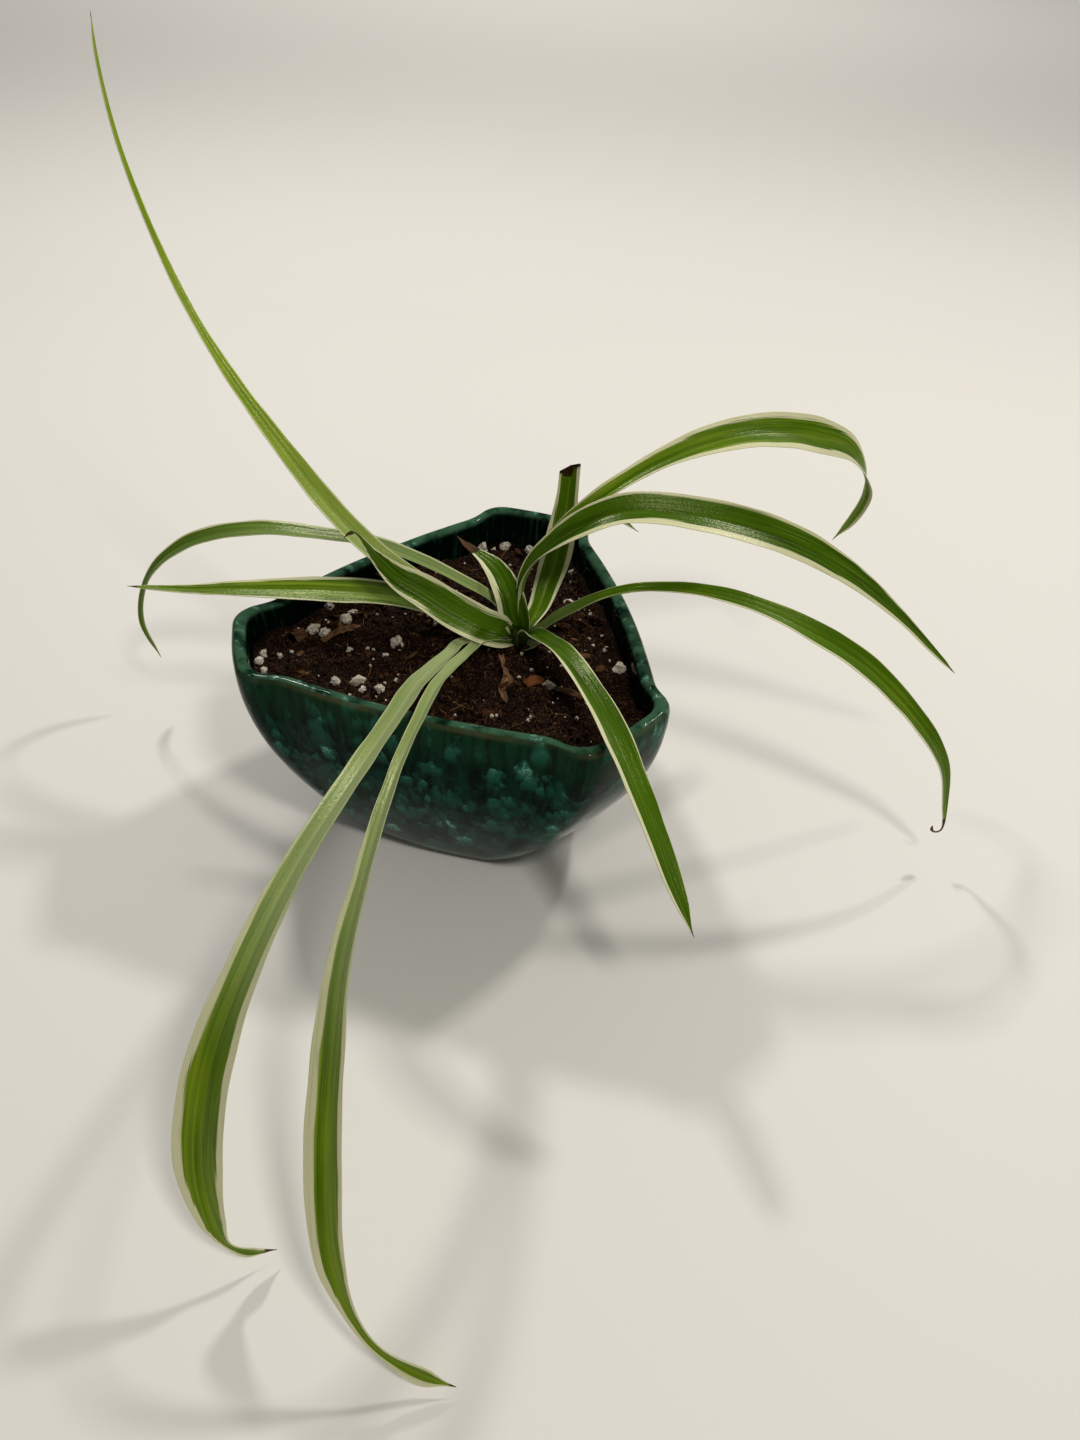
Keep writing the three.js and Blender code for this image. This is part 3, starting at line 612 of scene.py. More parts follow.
def glaze_material():
    s = Shader("green_glaze")
    place = s.position()
    east, north, height = s.split(place)
    column_x, column_y, inset = s.split(s.attribute("column"))
    up_mm = s.math("DIVIDE", height, MM)

    streak_place = s.join(column_x, column_y, s.times(up_mm, 0.12))
    streaks = s.noise(streak_place, 0.35, 3)
    broad = s.noise(streak_place, 0.07)
    shoulder = s.times(s.remap(up_mm, *HEIGHTS.shoulder), s.remap(streaks, 0.28, 0.62, 0.35, 1))

    # The spots crowd together lower down and in some columns.
    low = s.remap(up_mm, *HEIGHTS.crowd)
    crowd = s.plus(s.times(low, 0.75), s.times(broad, 0.8))
    squat = s.join(east, north, s.times(height, 0.6))
    large, middle, small = (mottle_layer(s, squat, size, crowd) for size in MOTTLE_SIZES)
    spots = s.math("MAXIMUM", large, s.math("MAXIMUM", middle, s.times(small, 0.8)))
    haze = s.remap(s.noise(place, 85, 3, 0.6), 0.45, 0.75, 0, 0.45)
    spots = s.math("MAXIMUM", spots, s.times(haze, low))
    grain = s.noise(place, 900, 3, 0.7)
    spots = s.times(spots, s.remap(grain, 0.3, 0.6, 0.55, 1))
    wall = s.paint(
        GLAZE.deep,
        (GLAZE.mid, s.remap(streaks, 0.38, 0.66)), (GLAZE.shoulder, s.times(shoulder, 0.6)),
        (GLAZE.mottle, s.times(spots, 0.95)), (GLAZE.pale_mottle, s.remap(spots, 0.55, 1.15)))

    # The lip is lighter, with flecks, and the glaze breaks brown along its outer edge.
    on_top = s.times(s.remap(inset, *INSETS.lip), s.remap(up_mm, *HEIGHTS.lip))
    cloudy = s.remap(s.noise(place, 110, 3), 0.3, 0.6)
    drop = s.cells(s.join(column_x, column_y, 3), 0.055)["Distance"]
    drip = s.times(s.remap(drop, 0.15, 0.06), s.remap(up_mm, *HEIGHTS.drip))
    fleck = s.remap(s.noise(place, 170, 4, 0.7), 0.56, 0.7, 0, 0.7)
    lip = s.paint(
        GLAZE.mid, (GLAZE.lip, cloudy), (GLAZE.pale_mottle, s.math("MAXIMUM", fleck, s.times(drip, 0.85))))
    edge = s.times(s.remap(inset, *INSETS.edge_starts), s.remap(inset, *INSETS.edge_ends))
    edge = s.times(edge, s.remap(up_mm, *HEIGHTS.edge))
    edge = s.times(edge, s.remap(s.noise(place, 30), 0.35, 0.6, 0.25, 1))

    # Inside, the glaze is deep and runs down in lighter threads. The foot stands on bare clay.
    thread = s.mix(GLAZE.deep, GLAZE.lip, s.remap(streaks, 0.52, 0.85, 0, 0.5))
    foot = s.remap(up_mm, *HEIGHTS.foot)
    colour = s.paint(
        wall, (lip, on_top), (GLAZE.breaking, s.times(edge, 0.55)),
        (thread, s.remap(inset, *INSETS.inside)), (GLAZE.clay, foot))
    s.set(Base_Color=colour, Specular_IOR_Level=0.05)
    s.set(Coat_Weight=s.remap(up_mm, *HEIGHTS.sheen, 0, 0.3))
    s.set(Roughness=s.blend(s.blend(0.05, 0.14, spots), 0.8, foot))
    s.bump(s.plus(s.noise(place, 150), s.times(spots, 0.1)), 0.00035, 0.6)
    return s.material


# ---- leaves

HALF_STATIONS = (0.035, 0.09, 0.16, 0.24, 0.32, 0.4, 0.48, 0.56, 0.64, 0.72, 0.8, 0.87, 0.93, 0.975, 1)
STATIONS = np.array([*(-u for u in reversed(HALF_STATIONS)), 0, *HALF_STATIONS])
GROOVE = Table(depth=0.28, width=0.55)
PLEAT = Table(depth=0.05, count=2.6)
WAVE = Table(height=0.22, length=38)
UNEVEN = Table(share=0.012, length=47)
# The half widths between which the edge's waves, the grooves and the thickness grow.
GROWS = Table(wave=(1, 5), groove=(0.8, 3.5), thickness=(0, 1.6))

# Brown ends that curl past the blade's last point: (x, y, z, width).
CURLS = {
    "short_left": [(-49, -2.5, 143.8, 2.8), (-51.5, -3.2, 143.2, 3.6), (-52.8, -4, 141.6, 2.4)],
    "narrow_right": [
        (226.6, -37.3, 19.6, 2.6), (224.4, -37.6, 19.2, 4.4), (222.6, -37.8, 21, 5.2),
        (222.4, -37.8, 23.2, 3.6),
    ],
}
CUT_TOPS = {"upright_back": 2.4}
CUT_REACH = 6  # how far below a cut top its edge is torn
NEEDLE = 9  # how far before its end a blade starts to sharpen
BELOW_CROWN = 9  # how far below its first point a blade starts


def ripple(distance, length, phases):
    """A smooth uneven wave between about -1 and 1."""
    parts = [np.sin(math.tau * distance * rate / length + phase)
             for rate, phase in zip((1, 0.62, 1.73), phases)]
    return sum(parts) / 2.2


def blade_controls(name):
    """The leaf's control points, carried down into the crown and out along its curled end."""
    _, points = LEAVES[name]
    x, y, z, width, roll, fold = points[0]
    inner = (lerp(CROWN.x, x, 0.5), lerp(CROWN.y, y, 0.5), z - BELOW_CROWN, width, roll, fold + 8)
    extra = [(*curl, *points[-1][4:]) for curl in CURLS.get(name, [])]
    return np.array([inner, *points, *extra], float)


def blade_frame(controls, heading, places):
    """Midrib points, the directions along, sideways and up, and the width and fold."""
    centre = catmull_rom(controls[:, :3], places, CENTRIPETAL)
    width, roll, fold = catmull_rom(controls[:, 3:], places, UNIFORM).T
    along = unit(np.gradient(centre, axis=0))
    angle = math.radians(heading)
    sideways = np.array([math.sin(angle), -math.cos(angle), 0])
    side = unit(sideways - (along @ sideways)[:, None] * along)
    side, up = rolled(side, np.cross(side, along), np.radians(roll))
    return centre, along, side, up, width, np.radians(fold)


def blade_mesh(name, controls, heading, cut=0):
    """A thin closed blade with a grooved midrib, faint pleats and waved edges."""
    rng = np.random.default_rng(sum(name.encode()))
    places, distance = even_places(controls[:, :3], BLADE.step)
    centre, along, side, up, width, fold = blade_frame(controls, heading, places)
    width = np.maximum(width, BLADE.tip)
    if not cut:
        width *= np.clip((distance[-1] - distance) / NEEDLE, 0.06, 1) ** 0.7
    half = (width / 2)[:, None]
    u = STATIONS
    phases = rng.uniform(0, math.tau, (5, 3))

    def by_edge(length, first):
        """For each edge, a wave of its own."""
        left, right = (ripple(distance, length, phases[first + k])[:, None] for k in (0, 1))
        return np.where(u < 0, left, right)

    wave = by_edge(WAVE.length, 0) * np.abs(u) ** 3 * WAVE.height * smoothstep(half, *GROWS.wave)
    across = u * half * (1 + UNEVEN.share * by_edge(UNEVEN.length, 2))
    rounding = BLADE.roundness
    lift = (np.hypot(u, rounding) - rounding) / (math.hypot(1, rounding) - rounding)
    strong = smoothstep(half, *GROWS.groove)
    groove = -GROOVE.depth * np.exp(-((across / GROOVE.width) ** 2)) * strong
    pleats = PLEAT.depth * np.cos(math.tau * PLEAT.count * u) * strong
    rise = lift * half * np.sin(fold)[:, None] + groove + pleats + wave
    thick = lerp(BLADE.rib, BLADE.edge, np.abs(u) ** 0.8) / 2 * smoothstep(half, *GROWS.thickness) + 0.05
    shift = np.zeros_like(across)
    if cut:
        ragged = rng.uniform(0, 1, len(u)) + 2.2 * np.exp(-((u + 0.2) / 0.45) ** 2) - u
        near = smoothstep(distance, distance[-1] - CUT_REACH, distance[-1])[:, None]
        shift = -cut * ragged * near
    moves = [(side, across * np.cos(fold)[:, None]), (up, rise), (along, shift)]
    points, faces = sheet(centre, moves, up, thick)
    layers = {"blade": sheet_layer(np.broadcast_to(u, across.shape), distance),
              "place": sheet_layer(across, distance)}
    return points, faces, layers, distance[-1]


LEAF = palette(
    deep="#213b00", mid="#456800", light="#8ea724", cream="#e0dfb4", greenish="#adb968",
    base="#9aa874", pale_stripe="#bac495", under="#6d8040", brown="#4f2e1c",
    dark_brown="#21120c", hollow="#0c1402",
)
# Noise over a blade: how far it counts along the blade, where a small share makes long streaks,
# then its scale and, if they aren't plain, its detail and roughness.
STREAKS = {
    "fine": (0.012, 1.5, 3, 0.6), "stripes": (0.012, 0.75), "pale_lines": (0.012, 2.6),
    "patches": (0.25, 0.13), "veins": (0.01, 2.2, 1), "pores": (0.6, 1.7), "grit": (0.8, 0.85, 1),
}
# Where things start and are complete, in millimetres across or along the blade.
RIB_GLOW = (0.9, 0.1)
# from here along the blade the pale base, partly painted sheen, weakens on the blade's right half
UNGLARED_HALF_RUN = (60, 110)
# where the painted shade near the crown begins, and where it is full
PAINTED_SHADE_RUN = (24, 8)
DRYING = Table(turn=1.5, dark=4.5, wander=3)
SEED_STEP = 3.7  # sets one leaf's noise apart from the next one's


def leaf_material(name, look, length, seed):
    """Green with long stripes, cream margins with ragged inner edges, a pale base that is partly painted
    sheen, painted shade near the crown and a brown tip.
    """
    s = Shader(name)
    share, along, upper = s.split(s.attribute("blade"))
    across = s.split(s.attribute("place"))[0]
    away = s.math("ABSOLUTE", share)
    hand = s.math("GREATER_THAN", share, 0)
    noises = Table(**{key: s.noise(s.join(across, s.times(along, drawn), seed), *kind)
                      for key, (drawn, *kind) in STREAKS.items()})
    fine = noises.fine

    # The margins' inner edges wander slowly and are broken up by fine stripes.
    slow = s.noise(s.join(s.times(hand, 9), s.times(along, 0.03), seed), 1, 1)
    wide = s.times(s.blend(*look.margins, hand), s.remap(slow, 0.2, 0.8, 0.75, 1.25))
    wide = s.times(wide, s.remap(along, *look.grow, NARROWED, 1))
    ragged = s.swing(fine, 0.5, look.ragged * 2.4)
    inward = s.plus(s.minus(away, s.minus(1, wide)), ragged)
    cream = s.remap(inward, -0.035, 0.035)

    # Green from deep to light, in stripes and patches.
    tone = s.plus(s.swing(noises.stripes, 0.5, 0.9), look.light)
    tone = s.plus(tone, s.swing(noises.patches, 0.5, 0.5))
    rib = s.remap(s.math("ABSOLUTE", across), *RIB_GLOW)
    pale_lines = s.remap(noises.pale_lines, 0.62, 0.72)
    green = s.paint(
        LEAF.deep,
        (LEAF.mid, s.remap(tone, -0.1, 0.35)), (LEAF.light, s.remap(tone, 0.35, 1.1)),
        (LEAF.light, s.times(rib, 0.45 * look.light)), (LEAF.greenish, s.times(pale_lines, 0.28)))

    margin = s.mix(LEAF.cream, LEAF.greenish, s.remap(fine, 0.5, 0.72, 0, 0.55))
    below = s.minus(1, upper)
    # The pale base: the leaf's own paler colour near the crown, and on the long front leaves also painted
    # sheen, which stays on the left half.
    whole, ended = look.pale
    unglared_half = s.times(s.remap(share, -0.1, 0.5), s.remap(along, *UNGLARED_HALF_RUN, 0, 0.4))
    pale_and_sheen_share = s.times(s.remap(along, ended, whole), s.minus(1, unglared_half))
    pale_base_and_sheen = s.mix(LEAF.base, LEAF.pale_stripe, s.remap(fine, 0.5, 0.75, 0, 0.6))

    # The tip dries brown, darkest where it meets the green. Pin-prick blemishes are rare.
    ending = s.plus(along, s.times(fine, min(DRYING.wander, look.brown)))
    starts = length - look.brown
    turned_at = starts + DRYING.turn
    dead = s.remap(ending, starts, turned_at)
    dark = s.times(dead, s.remap(ending, starts + DRYING.dark, turned_at))
    fleck = s.cells(s.join(across, along, seed), 0.16)["Distance"]

    colour = s.paint(
        green,
        (margin, cream), (LEAF.under, s.times(below, 0.38)), (pale_base_and_sheen, s.times(pale_and_sheen_share, look.wash)),
        # painted shade: the blade darkens towards the crown
        (LEAF.hollow, s.times(s.remap(along, *PAINTED_SHADE_RUN), 0.62)),
        (LEAF.brown, dead), (LEAF.dark_brown, s.times(dark, 0.8)),
        (LEAF.brown, s.times(s.remap(fleck, 0.05, 0.02), 0.6)))
    s.set(Base_Color=colour, Specular_IOR_Level=0.19, Specular_Tint=(0.95, 1, 0.5, 1))
    s.set(Subsurface_Weight=0.06, Subsurface_Scale=0.001)
    s.set(Roughness=s.blend(s.blend(0.22, 0.34, fine), 0.55, s.math("MAXIMUM", below, dead)))
    relief = s.plus(noises.veins, s.times(noises.pores, 0.45))
    s.bump(s.plus(relief, s.times(noises.grit, 1.1)), 0.00012, 0.9)
    return s.material


def make_leaves():
    for number, (name, (heading, _)) in enumerate(LEAVES.items()):
        node = f"leaf_{name}"
        points, faces, layers, length = blade_mesh(
            node, blade_controls(name), heading, CUT_TOPS.get(name, 0))
        blade = make_object(f"blade_{name}", points, faces, layers)
        material = leaf_material(f"skin_{name}", Look(*LOOKS[name]), length, SEED_STEP * number)
        finish_piece(blade, "leaf", material, node)


# ---- crown

# Short folded leaf bases round the stub, in the way of the leaves' own tables.
SHEATHS = {
    "pale_right": (5, [
        (25, 2, 83, 5, 0, 40), (28, -2.2, 87.8, 8.5, 5, 25), (31.5, -2.6, 90, 7.5, 5, 20),
        (35, -1.4, 92.6, 5, 0, 20), (38, -0.4, 94.4, 1, 0, 16),
    ]),
    "dark_front": (262, [
        (23.5, 1, 82, 6, 0, 60), (23, -2, 87, 8, 0, 50), (22.8, -3, 91, 6, 0, 46),
        (22.6, -2.6, 94.5, 0.8, 0, 40),
    ]),
    "dark_left": (200, [
        (22.5, 3, 82, 6, 0, 60), (19.5, 1.5, 88, 7, 0, 46), (17.5, 0.5, 91, 4, 0, 40),
        (16, 0, 93, 0.6, 0, 30),
    ]),
}
# The stub's section as (height, radius).
STUB = [
    (CROWN.root, 2.8), (74, 4.4), (80, 5.2), (85, CROWN.radius), (88, 5.4), (90.5, 4.8),
    (92.5, 4), (CROWN.top, CROWN.top_radius),
]
STUB_SIDES = 60
CROWN_LOOK = Look((0.02, 0.02), (0, 5), 0.2, 0, (60, 40), 0.8, 0.4)
CROWN_LENGTH = 400  # longer than any stretch of it, so that no tip dries
CROWN_SEED = 2.2
PALE_SHIFT = 100  # sets the pale sheaths apart from the dark ones in the colouring: they leave the painted shade near the crown, which darkens the dark ones
CROWN_SHADE = 95  # the stub is coloured as what lies below this height, so it takes the full painted shade of the crown


def make_crown():
    """Folded leaf bases set round a short ribbed stub."""
    z, reach = np.array(STUB, float).T
    angle = np.linspace(0, math.tau, STUB_SIDES, endpoint=False)
    swell = 1 + 0.07 * np.cos(CROWN.lobes * angle) + 0.02 * np.cos(23 * angle)
    radius = reach[:, None] * swell
    x = CROWN.x + radius * np.cos(angle)
    y = CROWN.y + radius * np.sin(angle)
    rings = np.stack([x, y, z[:, None] * np.ones_like(x)], -1)
    ends = [[(CROWN.x, CROWN.y, level)] for level in (CROWN.root, CROWN.top)]
    points, faces = closed_body(rings, *ends)
    # The stub is darkened all over with painted shade.
    height = points[:, 2] - CROWN_SHADE
    heap = Heap()
    heap.add(points, faces,
             blade=np.column_stack([np.zeros_like(height), height, np.ones_like(height)]),
             place=np.column_stack([points[:, 0], height, points[:, 1]]))
    for name, (heading, controls) in SHEATHS.items():
        points, faces, layers, _ = blade_mesh(name, np.array(controls, float), heading)
        layers["blade"][:, 1] += PALE_SHIFT if name.startswith("pale") else 0
        heap.add(points, faces, **layers)
    material = leaf_material("skin_crown", CROWN_LOOK, CROWN_LENGTH, CROWN_SEED)
    finish_piece(heap.build("leaf_base_crown"), "crown", material, "crown")


# ---- soil

# Grains of perlite that stand out: x, y and size. The rest are drawn by seed.
BIG_GRAINS = [
    (-91, -16, 5), (-91, -23, 4.5), (-87, -32, 4), (-83, -17, 3), (-68, 23, 5), (-72, 5, 6.5),
    (-66, 0, 5), (-56, 19, 5), (-58, 12, 6.5), (-53, -10, 3.5), (-46, -32, 6), (-43, -38, 3.5),
    (-55, -36, 4.5), (-35, -39, 4), (-32, -5, 7), (-36, -14, 3.5), (0, 90, 7), (6, 92, 3.5),
    (12, 93, 6), (25, 90, 4.5), (47, 68, 4), (46, 40, 4.5), (70, -14, 6), (38, -29, 5.5), (28, -70, 3),
]
SOIL_INSET = 7
SOIL_RINGS = 105


def soil_height(x, y):
    lumps = np.sin(x * 0.21 + 1.3) * np.cos(y * 0.17) + 0.6 * np.sin(x * 0.43 - y * 0.37)
    dip = SOIL.dip * smoothstep(y, SOIL.dip_from, SOIL.dip_to)
    return SOIL.level - dip + SOIL.bump * lumps


def crumble(x, y):
    """The crumbly relief of the soil at one point, in millimetres."""
    place = Vector((x, y, 0))
    clods = noise.noise(place * 0.13) * 1.6
    crumbs = (0.45 - noise.voronoi(place * 0.34)[0][0]) * 1.9
    grit = noise.noise(place * 0.8) * 0.8
    return clods + crumbs + grit


def edge_reach(angles, inset):
    """How far the pot's inner wall lies from the middle at soil level, by angle."""
    ring = pot_outline(SOIL.level, inset)
    turns = np.arctan2(ring[:, 1], ring[:, 0])
    order = np.argsort(turns)
    reach = np.hypot(ring[:, 0], ring[:, 1])[order]
    return np.interp(angles, turns[order], reach, period=math.tau)


def ground(x, y):
    """The height of the soil's crumbly surface at one point."""
    return soil_height(x, y) + crumble(x, y)


SOIL_LEVELS = (POT.floor + 1, 20, 33, 46, 60, 70, 78)
SOIL_TINT = (0.2, 0, 0)


def make_soil():
    rings = [pot_outline(z, SOIL_INSET) for z in SOIL_LEVELS]
    rim = pot_outline(SOIL.level, SOIL_INSET)
    for share in np.linspace(1, 0.012, SOIL_RINGS):
        ring = rim * share
        ring[:, 2] = [ground(x, y) for x, y, _ in ring]
        rings.append(ring)
    points, faces = closed_body(np.array(rings), [(0, 0, SOIL_LEVELS[0])], [(0, 0, ground(0, 0))])
    soil = make_object("potting_soil", points, faces, {"tint": np.tile(SOIL_TINT, (len(points), 1))})
    finish_piece(soil, "soil", soil_material("peat"), "soil")


PEAT = palette(black="#050201", dark="#170b05", brown="#3c2413", tan="#8f6a42", speck="#6a4528")


def soil_material(name):
    """Dark fibrous peat. The tint's first number sets how light a crumb or fibre is."""
    s = Shader(name, 0.92)
    place = s.position()
    tint = s.split(s.attribute("tint"))[0]
    coarse = s.noise(place, 260, 4, 0.65)
    fine = s.noise(place, 1500, 3, 0.7)
    shade = s.plus(s.times(coarse, 0.55), s.times(fine, 0.45))
    level = s.plus(s.minus(shade, 0.5), tint)
    specks = s.noise(place, 1300, 2, 0.6)
    colour = s.paint(
        PEAT.black,
        (PEAT.dark, s.remap(level, 0, 0.3)), (PEAT.brown, s.remap(level, 0.3, 0.62)),
        (PEAT.tan, s.remap(level, 0.62, 1.05)), (PEAT.speck, s.remap(specks, 0.56, 0.7, 0, 0.8)))
    s.set(Base_Color=colour, Specular_IOR_Level=0.1)
    s.bump(shade, 0.0008, 0.8)
    return s.material


# The loose bits: how many, how far out they lie as a share, their draws' seed, and how high they
# sit as a share of their size.
CRUMBS = Table(count=2000, reach=0.97, seed=21, lift=0.2)
BARK = Table(count=120, reach=0.93, seed=55, lift=0.15)
PERLITE = Table(count=150, reach=0.94, seed=11, lift=0.2, big_lift=0.16)
FIBRE_REACH, FIBRE_SEED, FIBRE_STEPS = 0.93, 34, 6
# Each kind of fibre: how many, their lengths and radii, and how much they wander.
FIBRES = (
    (2400, (1.2, 3.6), (0.08, 0.18), 0.35),
    (150, (5, 11), (0.14, 0.28), 0.22),
    (30, (8, 18), (0.5, 0.95), 0.12),
)
TWIG = 0.45  # a fibre of at least this radius is a twig


def scatter(rng, count, reach):
    """Even random places on the soil inside its rim."""
    angles = rng.uniform(-math.pi, math.pi, count)
    spread = np.sqrt(rng.uniform(0, 1, count)) * reach
    away = edge_reach(angles, SOIL_INSET + 1) * spread
    return np.column_stack([away * np.cos(angles), away * np.sin(angles)])


def strew(kind, name, material, shape, faces):
    """Bits of one kind on the soil. Shape gives a bit's points, its size and its tint."""
    rng = np.random.default_rng(kind.seed)
    heap = Heap()
    for x, y in scatter(rng, kind.count, kind.reach):
        points, size, tint = shape(rng, x, y)
        heap.add(points + (x, y, ground(x, y) + size * kind.lift), faces, tint=(tint, 0, 0))
    finish_piece(heap.build(name), "soil", soil_material(material))


def make_crumbs():
    """Loose crumbs of peat lying on the surface."""
    unit_points, faces = ball(1)

    def crumb(rng, x, y):
        size = rng.uniform(0.45, 1) ** 2 * 1.8
        points = turned(unit_points * rng.uniform(0.55, 1, 3), rng)
        points = points * (1 + lumpy(points, 1.9, 0.5, Vector((x, y, 0))))[:, None]
        return points * size, size, rng.uniform(0.05, 0.65)

    strew(CRUMBS, "soil_crumbs", "peat_crumbs", crumb, faces)


def fibre_points(rng, start, length, curl):
    """A short wandering line that stays near the surface."""
    heading = rng.uniform(0, math.tau)
    rise = rng.uniform(0.1, 0.8)
    step = length / FIBRE_STEPS
    points = []
    x, y = start
    for k in range(FIBRE_STEPS + 1):
        arch = math.sin(math.pi * k / FIBRE_STEPS) * rise
        points.append((x, y, ground(x, y) + 0.25 + arch))
        x += math.cos(heading) * step
        y += math.sin(heading) * step
        heading += rng.normal(0, curl)
    return np.array(points)


def tube(points, radii, sides):
    """A closed tube along a line of points."""
    along = unit(np.gradient(points, axis=0))
    side = unit(np.cross(along, (0.13, 0.07, 1)))
    up = np.cross(side, along)
    angles = -np.arange(sides) / sides * math.tau
    circle = side[:, None] * np.cos(angles)[None, :, None] + up[:, None] * np.sin(angles)[None, :, None]
    rings = points[:, None] + circle * np.asarray(radii)[:, None, None]
    return closed_body(rings, points[:1], points[-1:])


def inside_pot(points):
    angles = np.arctan2(points[:, 1], points[:, 0])
    return bool(np.all(np.hypot(points[:, 0], points[:, 1]) < edge_reach(angles, SOIL_INSET + 0.5)))


def make_fibres():
    """Fine roots and coir, with a few thicker twigs."""
    rng = np.random.default_rng(FIBRE_SEED)
    heap = Heap()
    for count, lengths, thick, curl in FIBRES:
        for x, y in scatter(rng, count, FIBRE_REACH):
            points = fibre_points(rng, (x, y), rng.uniform(*lengths), curl)
            radius = rng.uniform(*thick)
            tint = rng.uniform(0.3, 0.7) if radius >= TWIG else rng.uniform(0.25, 0.95)
            if inside_pot(points):
                taper = radius * (0.45 + 0.55 * np.sin(np.linspace(0.25, math.pi - 0.25, len(points))))
                heap.add(*tube(points, taper, 5), tint=(tint, 0, 0))
    finish_piece(heap.build("soil_fibres"), "soil", soil_material("peat_fibres"))


def make_bark_bits():
    """Flat angular flakes of bark and wood."""
    unit_points, faces = ball(2)
    boxy = np.sign(unit_points) * np.abs(unit_points) ** 0.55

    def flake(rng, x, y):
        size = rng.uniform(1.2, 3.6)
        squash = np.array([1, rng.uniform(0.35, 0.7), rng.uniform(0.15, 0.3)])
        points = boxy * squash * (1 + lumpy(unit_points, 2.3, 0.45, Vector((y, x, 3))))[:, None]
        heading = Matrix.Rotation(rng.uniform(0, math.tau), 3, "Z")
        tilt = heading @ Matrix.Rotation(rng.normal(0, 0.35), 3, "X")
        return points * size @ np.array(tilt).T, size, rng.uniform(0.3, 0.8)

    strew(BARK, "soil_bark_bits", "peat_bark", flake, faces)


GRAIN = palette(bright="#e2dac8", dull="#b3a68f", stain="#5e4632", pit="#6b5f50")


def perlite_material():
    s = Shader("perlite", 0.85)
    place = s.position()
    cloudy = s.noise(place, 500, 4, 0.65)
    stain = s.remap(s.noise(place, 330, 3, 0.6), 0.52, 0.75)
    pits = s.cells(place, 1500)["Distance"]
    colour = s.paint(
        GRAIN.bright, (GRAIN.dull, s.remap(cloudy, 0.35, 0.75)), (GRAIN.stain, s.times(stain, 0.55)),
        (GRAIN.pit, s.remap(pits, 0.3, 0.05, 0, 0.6)))
    s.set(Base_Color=colour)
    s.bump(s.plus(pits, s.times(cloudy, 0.8)), 0.0005, 0.9)
    return s.material


def grain_points(unit_points, size, rng, offset):
    """A knobbly grain: a ball with dents, squashed and turned."""
    swell = lumpy(unit_points, 1.4, 0.55, offset) + lumpy(unit_points, 3.6, 0.22, offset)
    points = unit_points * (1 + swell)[:, None] * rng.uniform(0.62, 1, 3)
    return turned(points, rng) * size / 2


def make_perlite():
    rng = np.random.default_rng(PERLITE.seed)
    heap = Heap()
    fine, fine_faces = ball(4)
    coarse, coarse_faces = ball(2)
    for x, y, size in BIG_GRAINS:
        points = grain_points(fine, size * 1.1, rng, Vector((x, y, 1)))
        heap.add(points + (x, y, ground(x, y) + size * PERLITE.big_lift), fine_faces)
    for x, y in scatter(rng, PERLITE.count, PERLITE.reach):
        size = rng.uniform(0.5, 1) ** 1.5 * 2.4
        points = grain_points(coarse, size, rng, Vector((x, y, 2)))
        heap.add(points + (x, y, ground(x, y) + size * PERLITE.lift), coarse_faces)
    finish_piece(heap.build("perlite_grains"), "soil", perlite_material())


# ---- litter on the soil

# Each piece: its points as (x, y, lift, width), its thickness, how far it curls and how crumpled it
# is, its slot, and its dark, middle and light colour.
LITTER = {
    "dead_leaf": ([
        (16, -11.5, 3, 2.2), (17, -20.5, 2.4, 3), (20, -27.8, 2.6, 5), (18.3, -35, 1.8, 3.6),
        (20.8, -43, 1.4, 2),
    ], 0.3, 0.8, 1, "dry_leaf", ("#2a1a0e", "#6b4a30", "#bd9a6c")),
    "dry_leaf_piece": ([
        (-84.5, -4, 0.6, 5), (-82, -3, 2.4, 11), (-79, -2.5, 3, 10.5), (-76, -3, 2, 7),
        (-73.4, -4, 0.8, 3),
    ], 0.4, 0.6, 1, "dry_leaf", ("#1f130b", "#553622", "#96704c")),
    "wood_strip": ([
        (-66.5, -4.5, 0.8, 3.5), (-63, -2.2, 1.8, 4.8), (-59, 0.4, 2.4, 5), (-55, 4, 1.8, 4),
        (-51.4, 7.6, 1, 1.8),
    ], 1, 0.2, 0.45, "wood", ("#2a1a0f", "#6b4a2f", "#a07a50")),
    "bark_chip": (
        [(28, -30, 0.8, 5), (32, -27, 1.8, 7), (35, -24.5, 0.8, 4)],
        2.4, 0.1, 0.4, "bark", ("#2c1406", "#663710", "#a06a2c")),
    "bark_strip": (
        [(42, -31, 0.8, 3), (47, -34, 1.6, 4.5), (53, -36.5, 0.8, 2.5)],
        1.8, 0.2, 0.3, "bark", ("#20130a", "#553820", "#a07c50")),
}
STRIP_STEP = 0.45
STRIP_STATIONS = 15


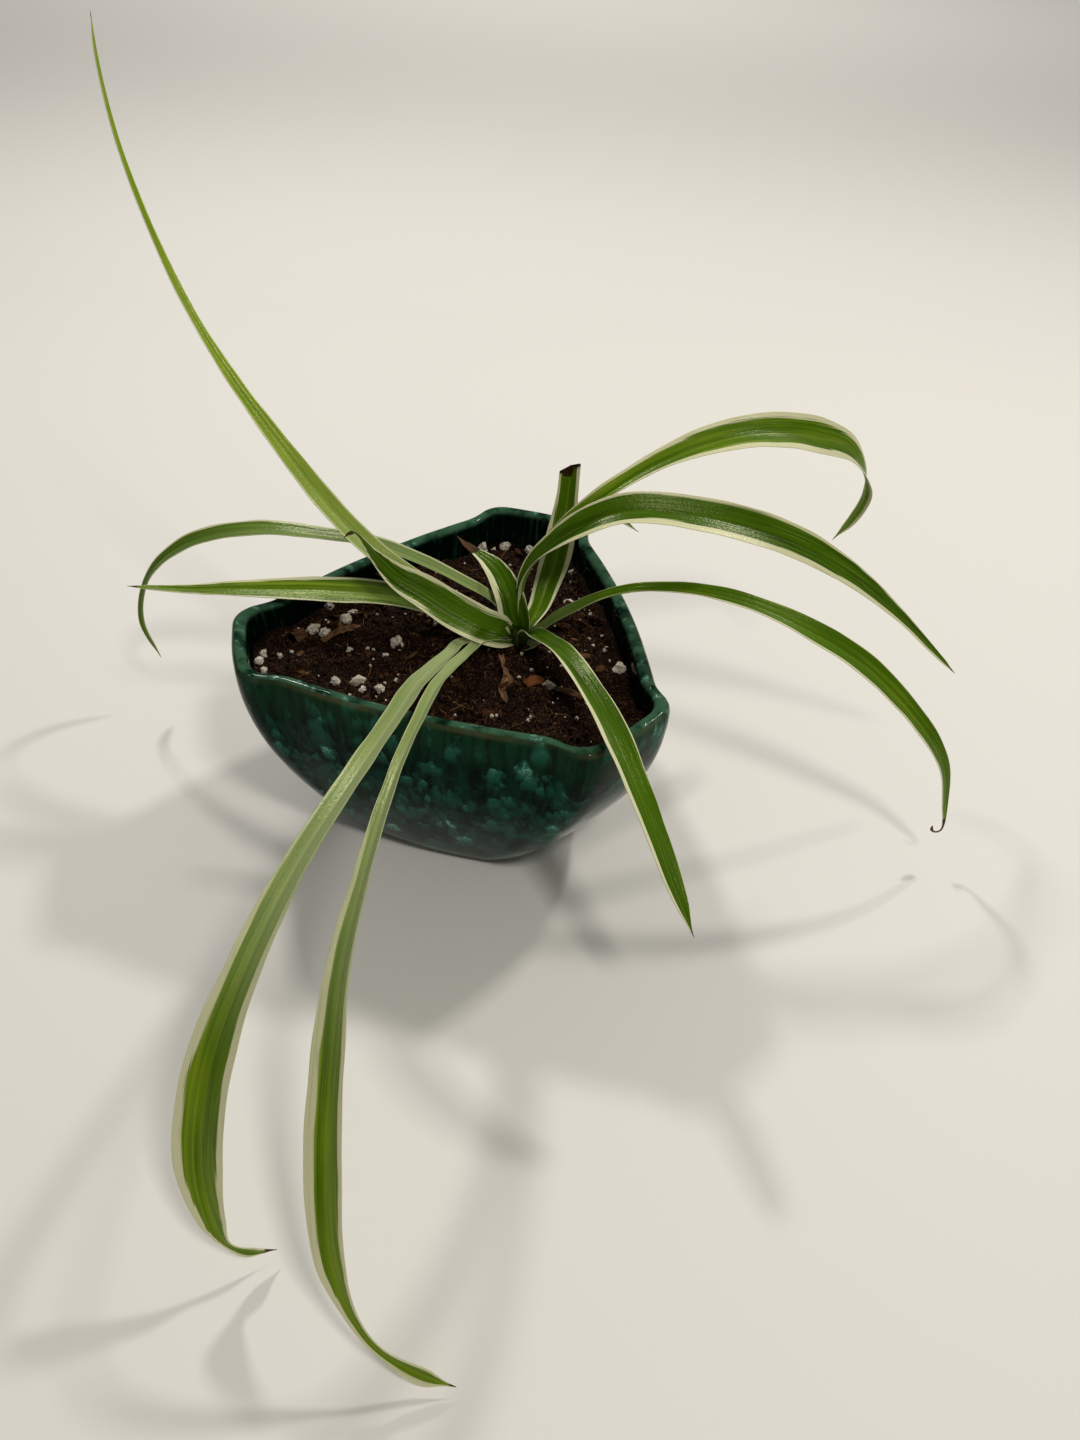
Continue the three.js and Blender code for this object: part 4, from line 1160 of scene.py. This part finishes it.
def litter_material(name, colours):
    s = Shader(name, 0.85)
    across, along, _ = s.split(s.attribute("place"))
    dark, mid, light = map(linear, colours)
    fibre = s.noise(s.join(across, s.times(along, 0.12), 1), 2, 4, 0.65)
    patch = s.noise(s.join(across, along, 2), 0.35, 3, 0.6)
    colour = s.paint(
        dark, (mid, s.remap(patch, 0.3, 0.55)), (light, s.remap(fibre, 0.48, 0.75)),
        (dark, s.remap(fibre, 0.42, 0.25, 0, 0.8)))
    s.set(Base_Color=colour, Specular_IOR_Level=0.2)
    s.bump(fibre, 0.0005, 0.8)
    return s.material


def make_strip(name, controls, thickness, curl, crumple):
    """A creased strip that lies on the soil."""
    lines = np.array([(x, y, soil_height(x, y) + lift) for x, y, lift, _ in controls])
    places, distance = even_places(lines, STRIP_STEP)
    centre = catmull_rom(lines, places, CENTRIPETAL)
    along = unit(np.gradient(centre, axis=0))
    side = unit(np.cross(along, (0, 0, 1)))
    side, up = rolled(side, np.cross(side, along), curl * np.sin(places * 5))
    width = np.interp(places * (len(controls) - 1), range(len(controls)), [c[3] for c in controls])
    u = np.linspace(-1, 1, STRIP_STATIONS)
    seed = sum(name.encode())
    ragged = [[noise.noise(Vector((d * 0.45, k * 7, seed))) for k in (0, 1)] for d in distance]
    ragged = 1 + 0.35 * np.array(ragged)
    across = u * width[:, None] / 2 * np.where(u < 0, ragged[:, :1], ragged[:, 1:])
    creases = np.array([[noise.noise(Vector((a * 0.55, d * 0.3, 5))) for a in row]
                        for row, d in zip(across, distance)]) * crumple
    creases += crumple * 0.9 * (np.abs(u) ** 1.5 - 0.4)
    thick = thickness / 2 * (1 - 0.55 * u[None, :] ** 2)
    points, faces = sheet(centre, [(side, across), (up, creases)], up, thick)
    return make_object(f"loose_{name}", points, faces, {"place": sheet_layer(across, distance)})


def make_litter():
    for name, (controls, thickness, curl, crumple, slot, colours) in LITTER.items():
        strip = make_strip(name, controls, thickness, curl, crumple)
        finish_piece(strip, slot, litter_material(name, colours), name)


# ---- assembly

make_camera()
make_floor()
make_lights()
make_pot()
make_soil()
make_crumbs()
make_fibres()
make_bark_bits()
make_perlite()
make_litter()
make_crown()
make_leaves()
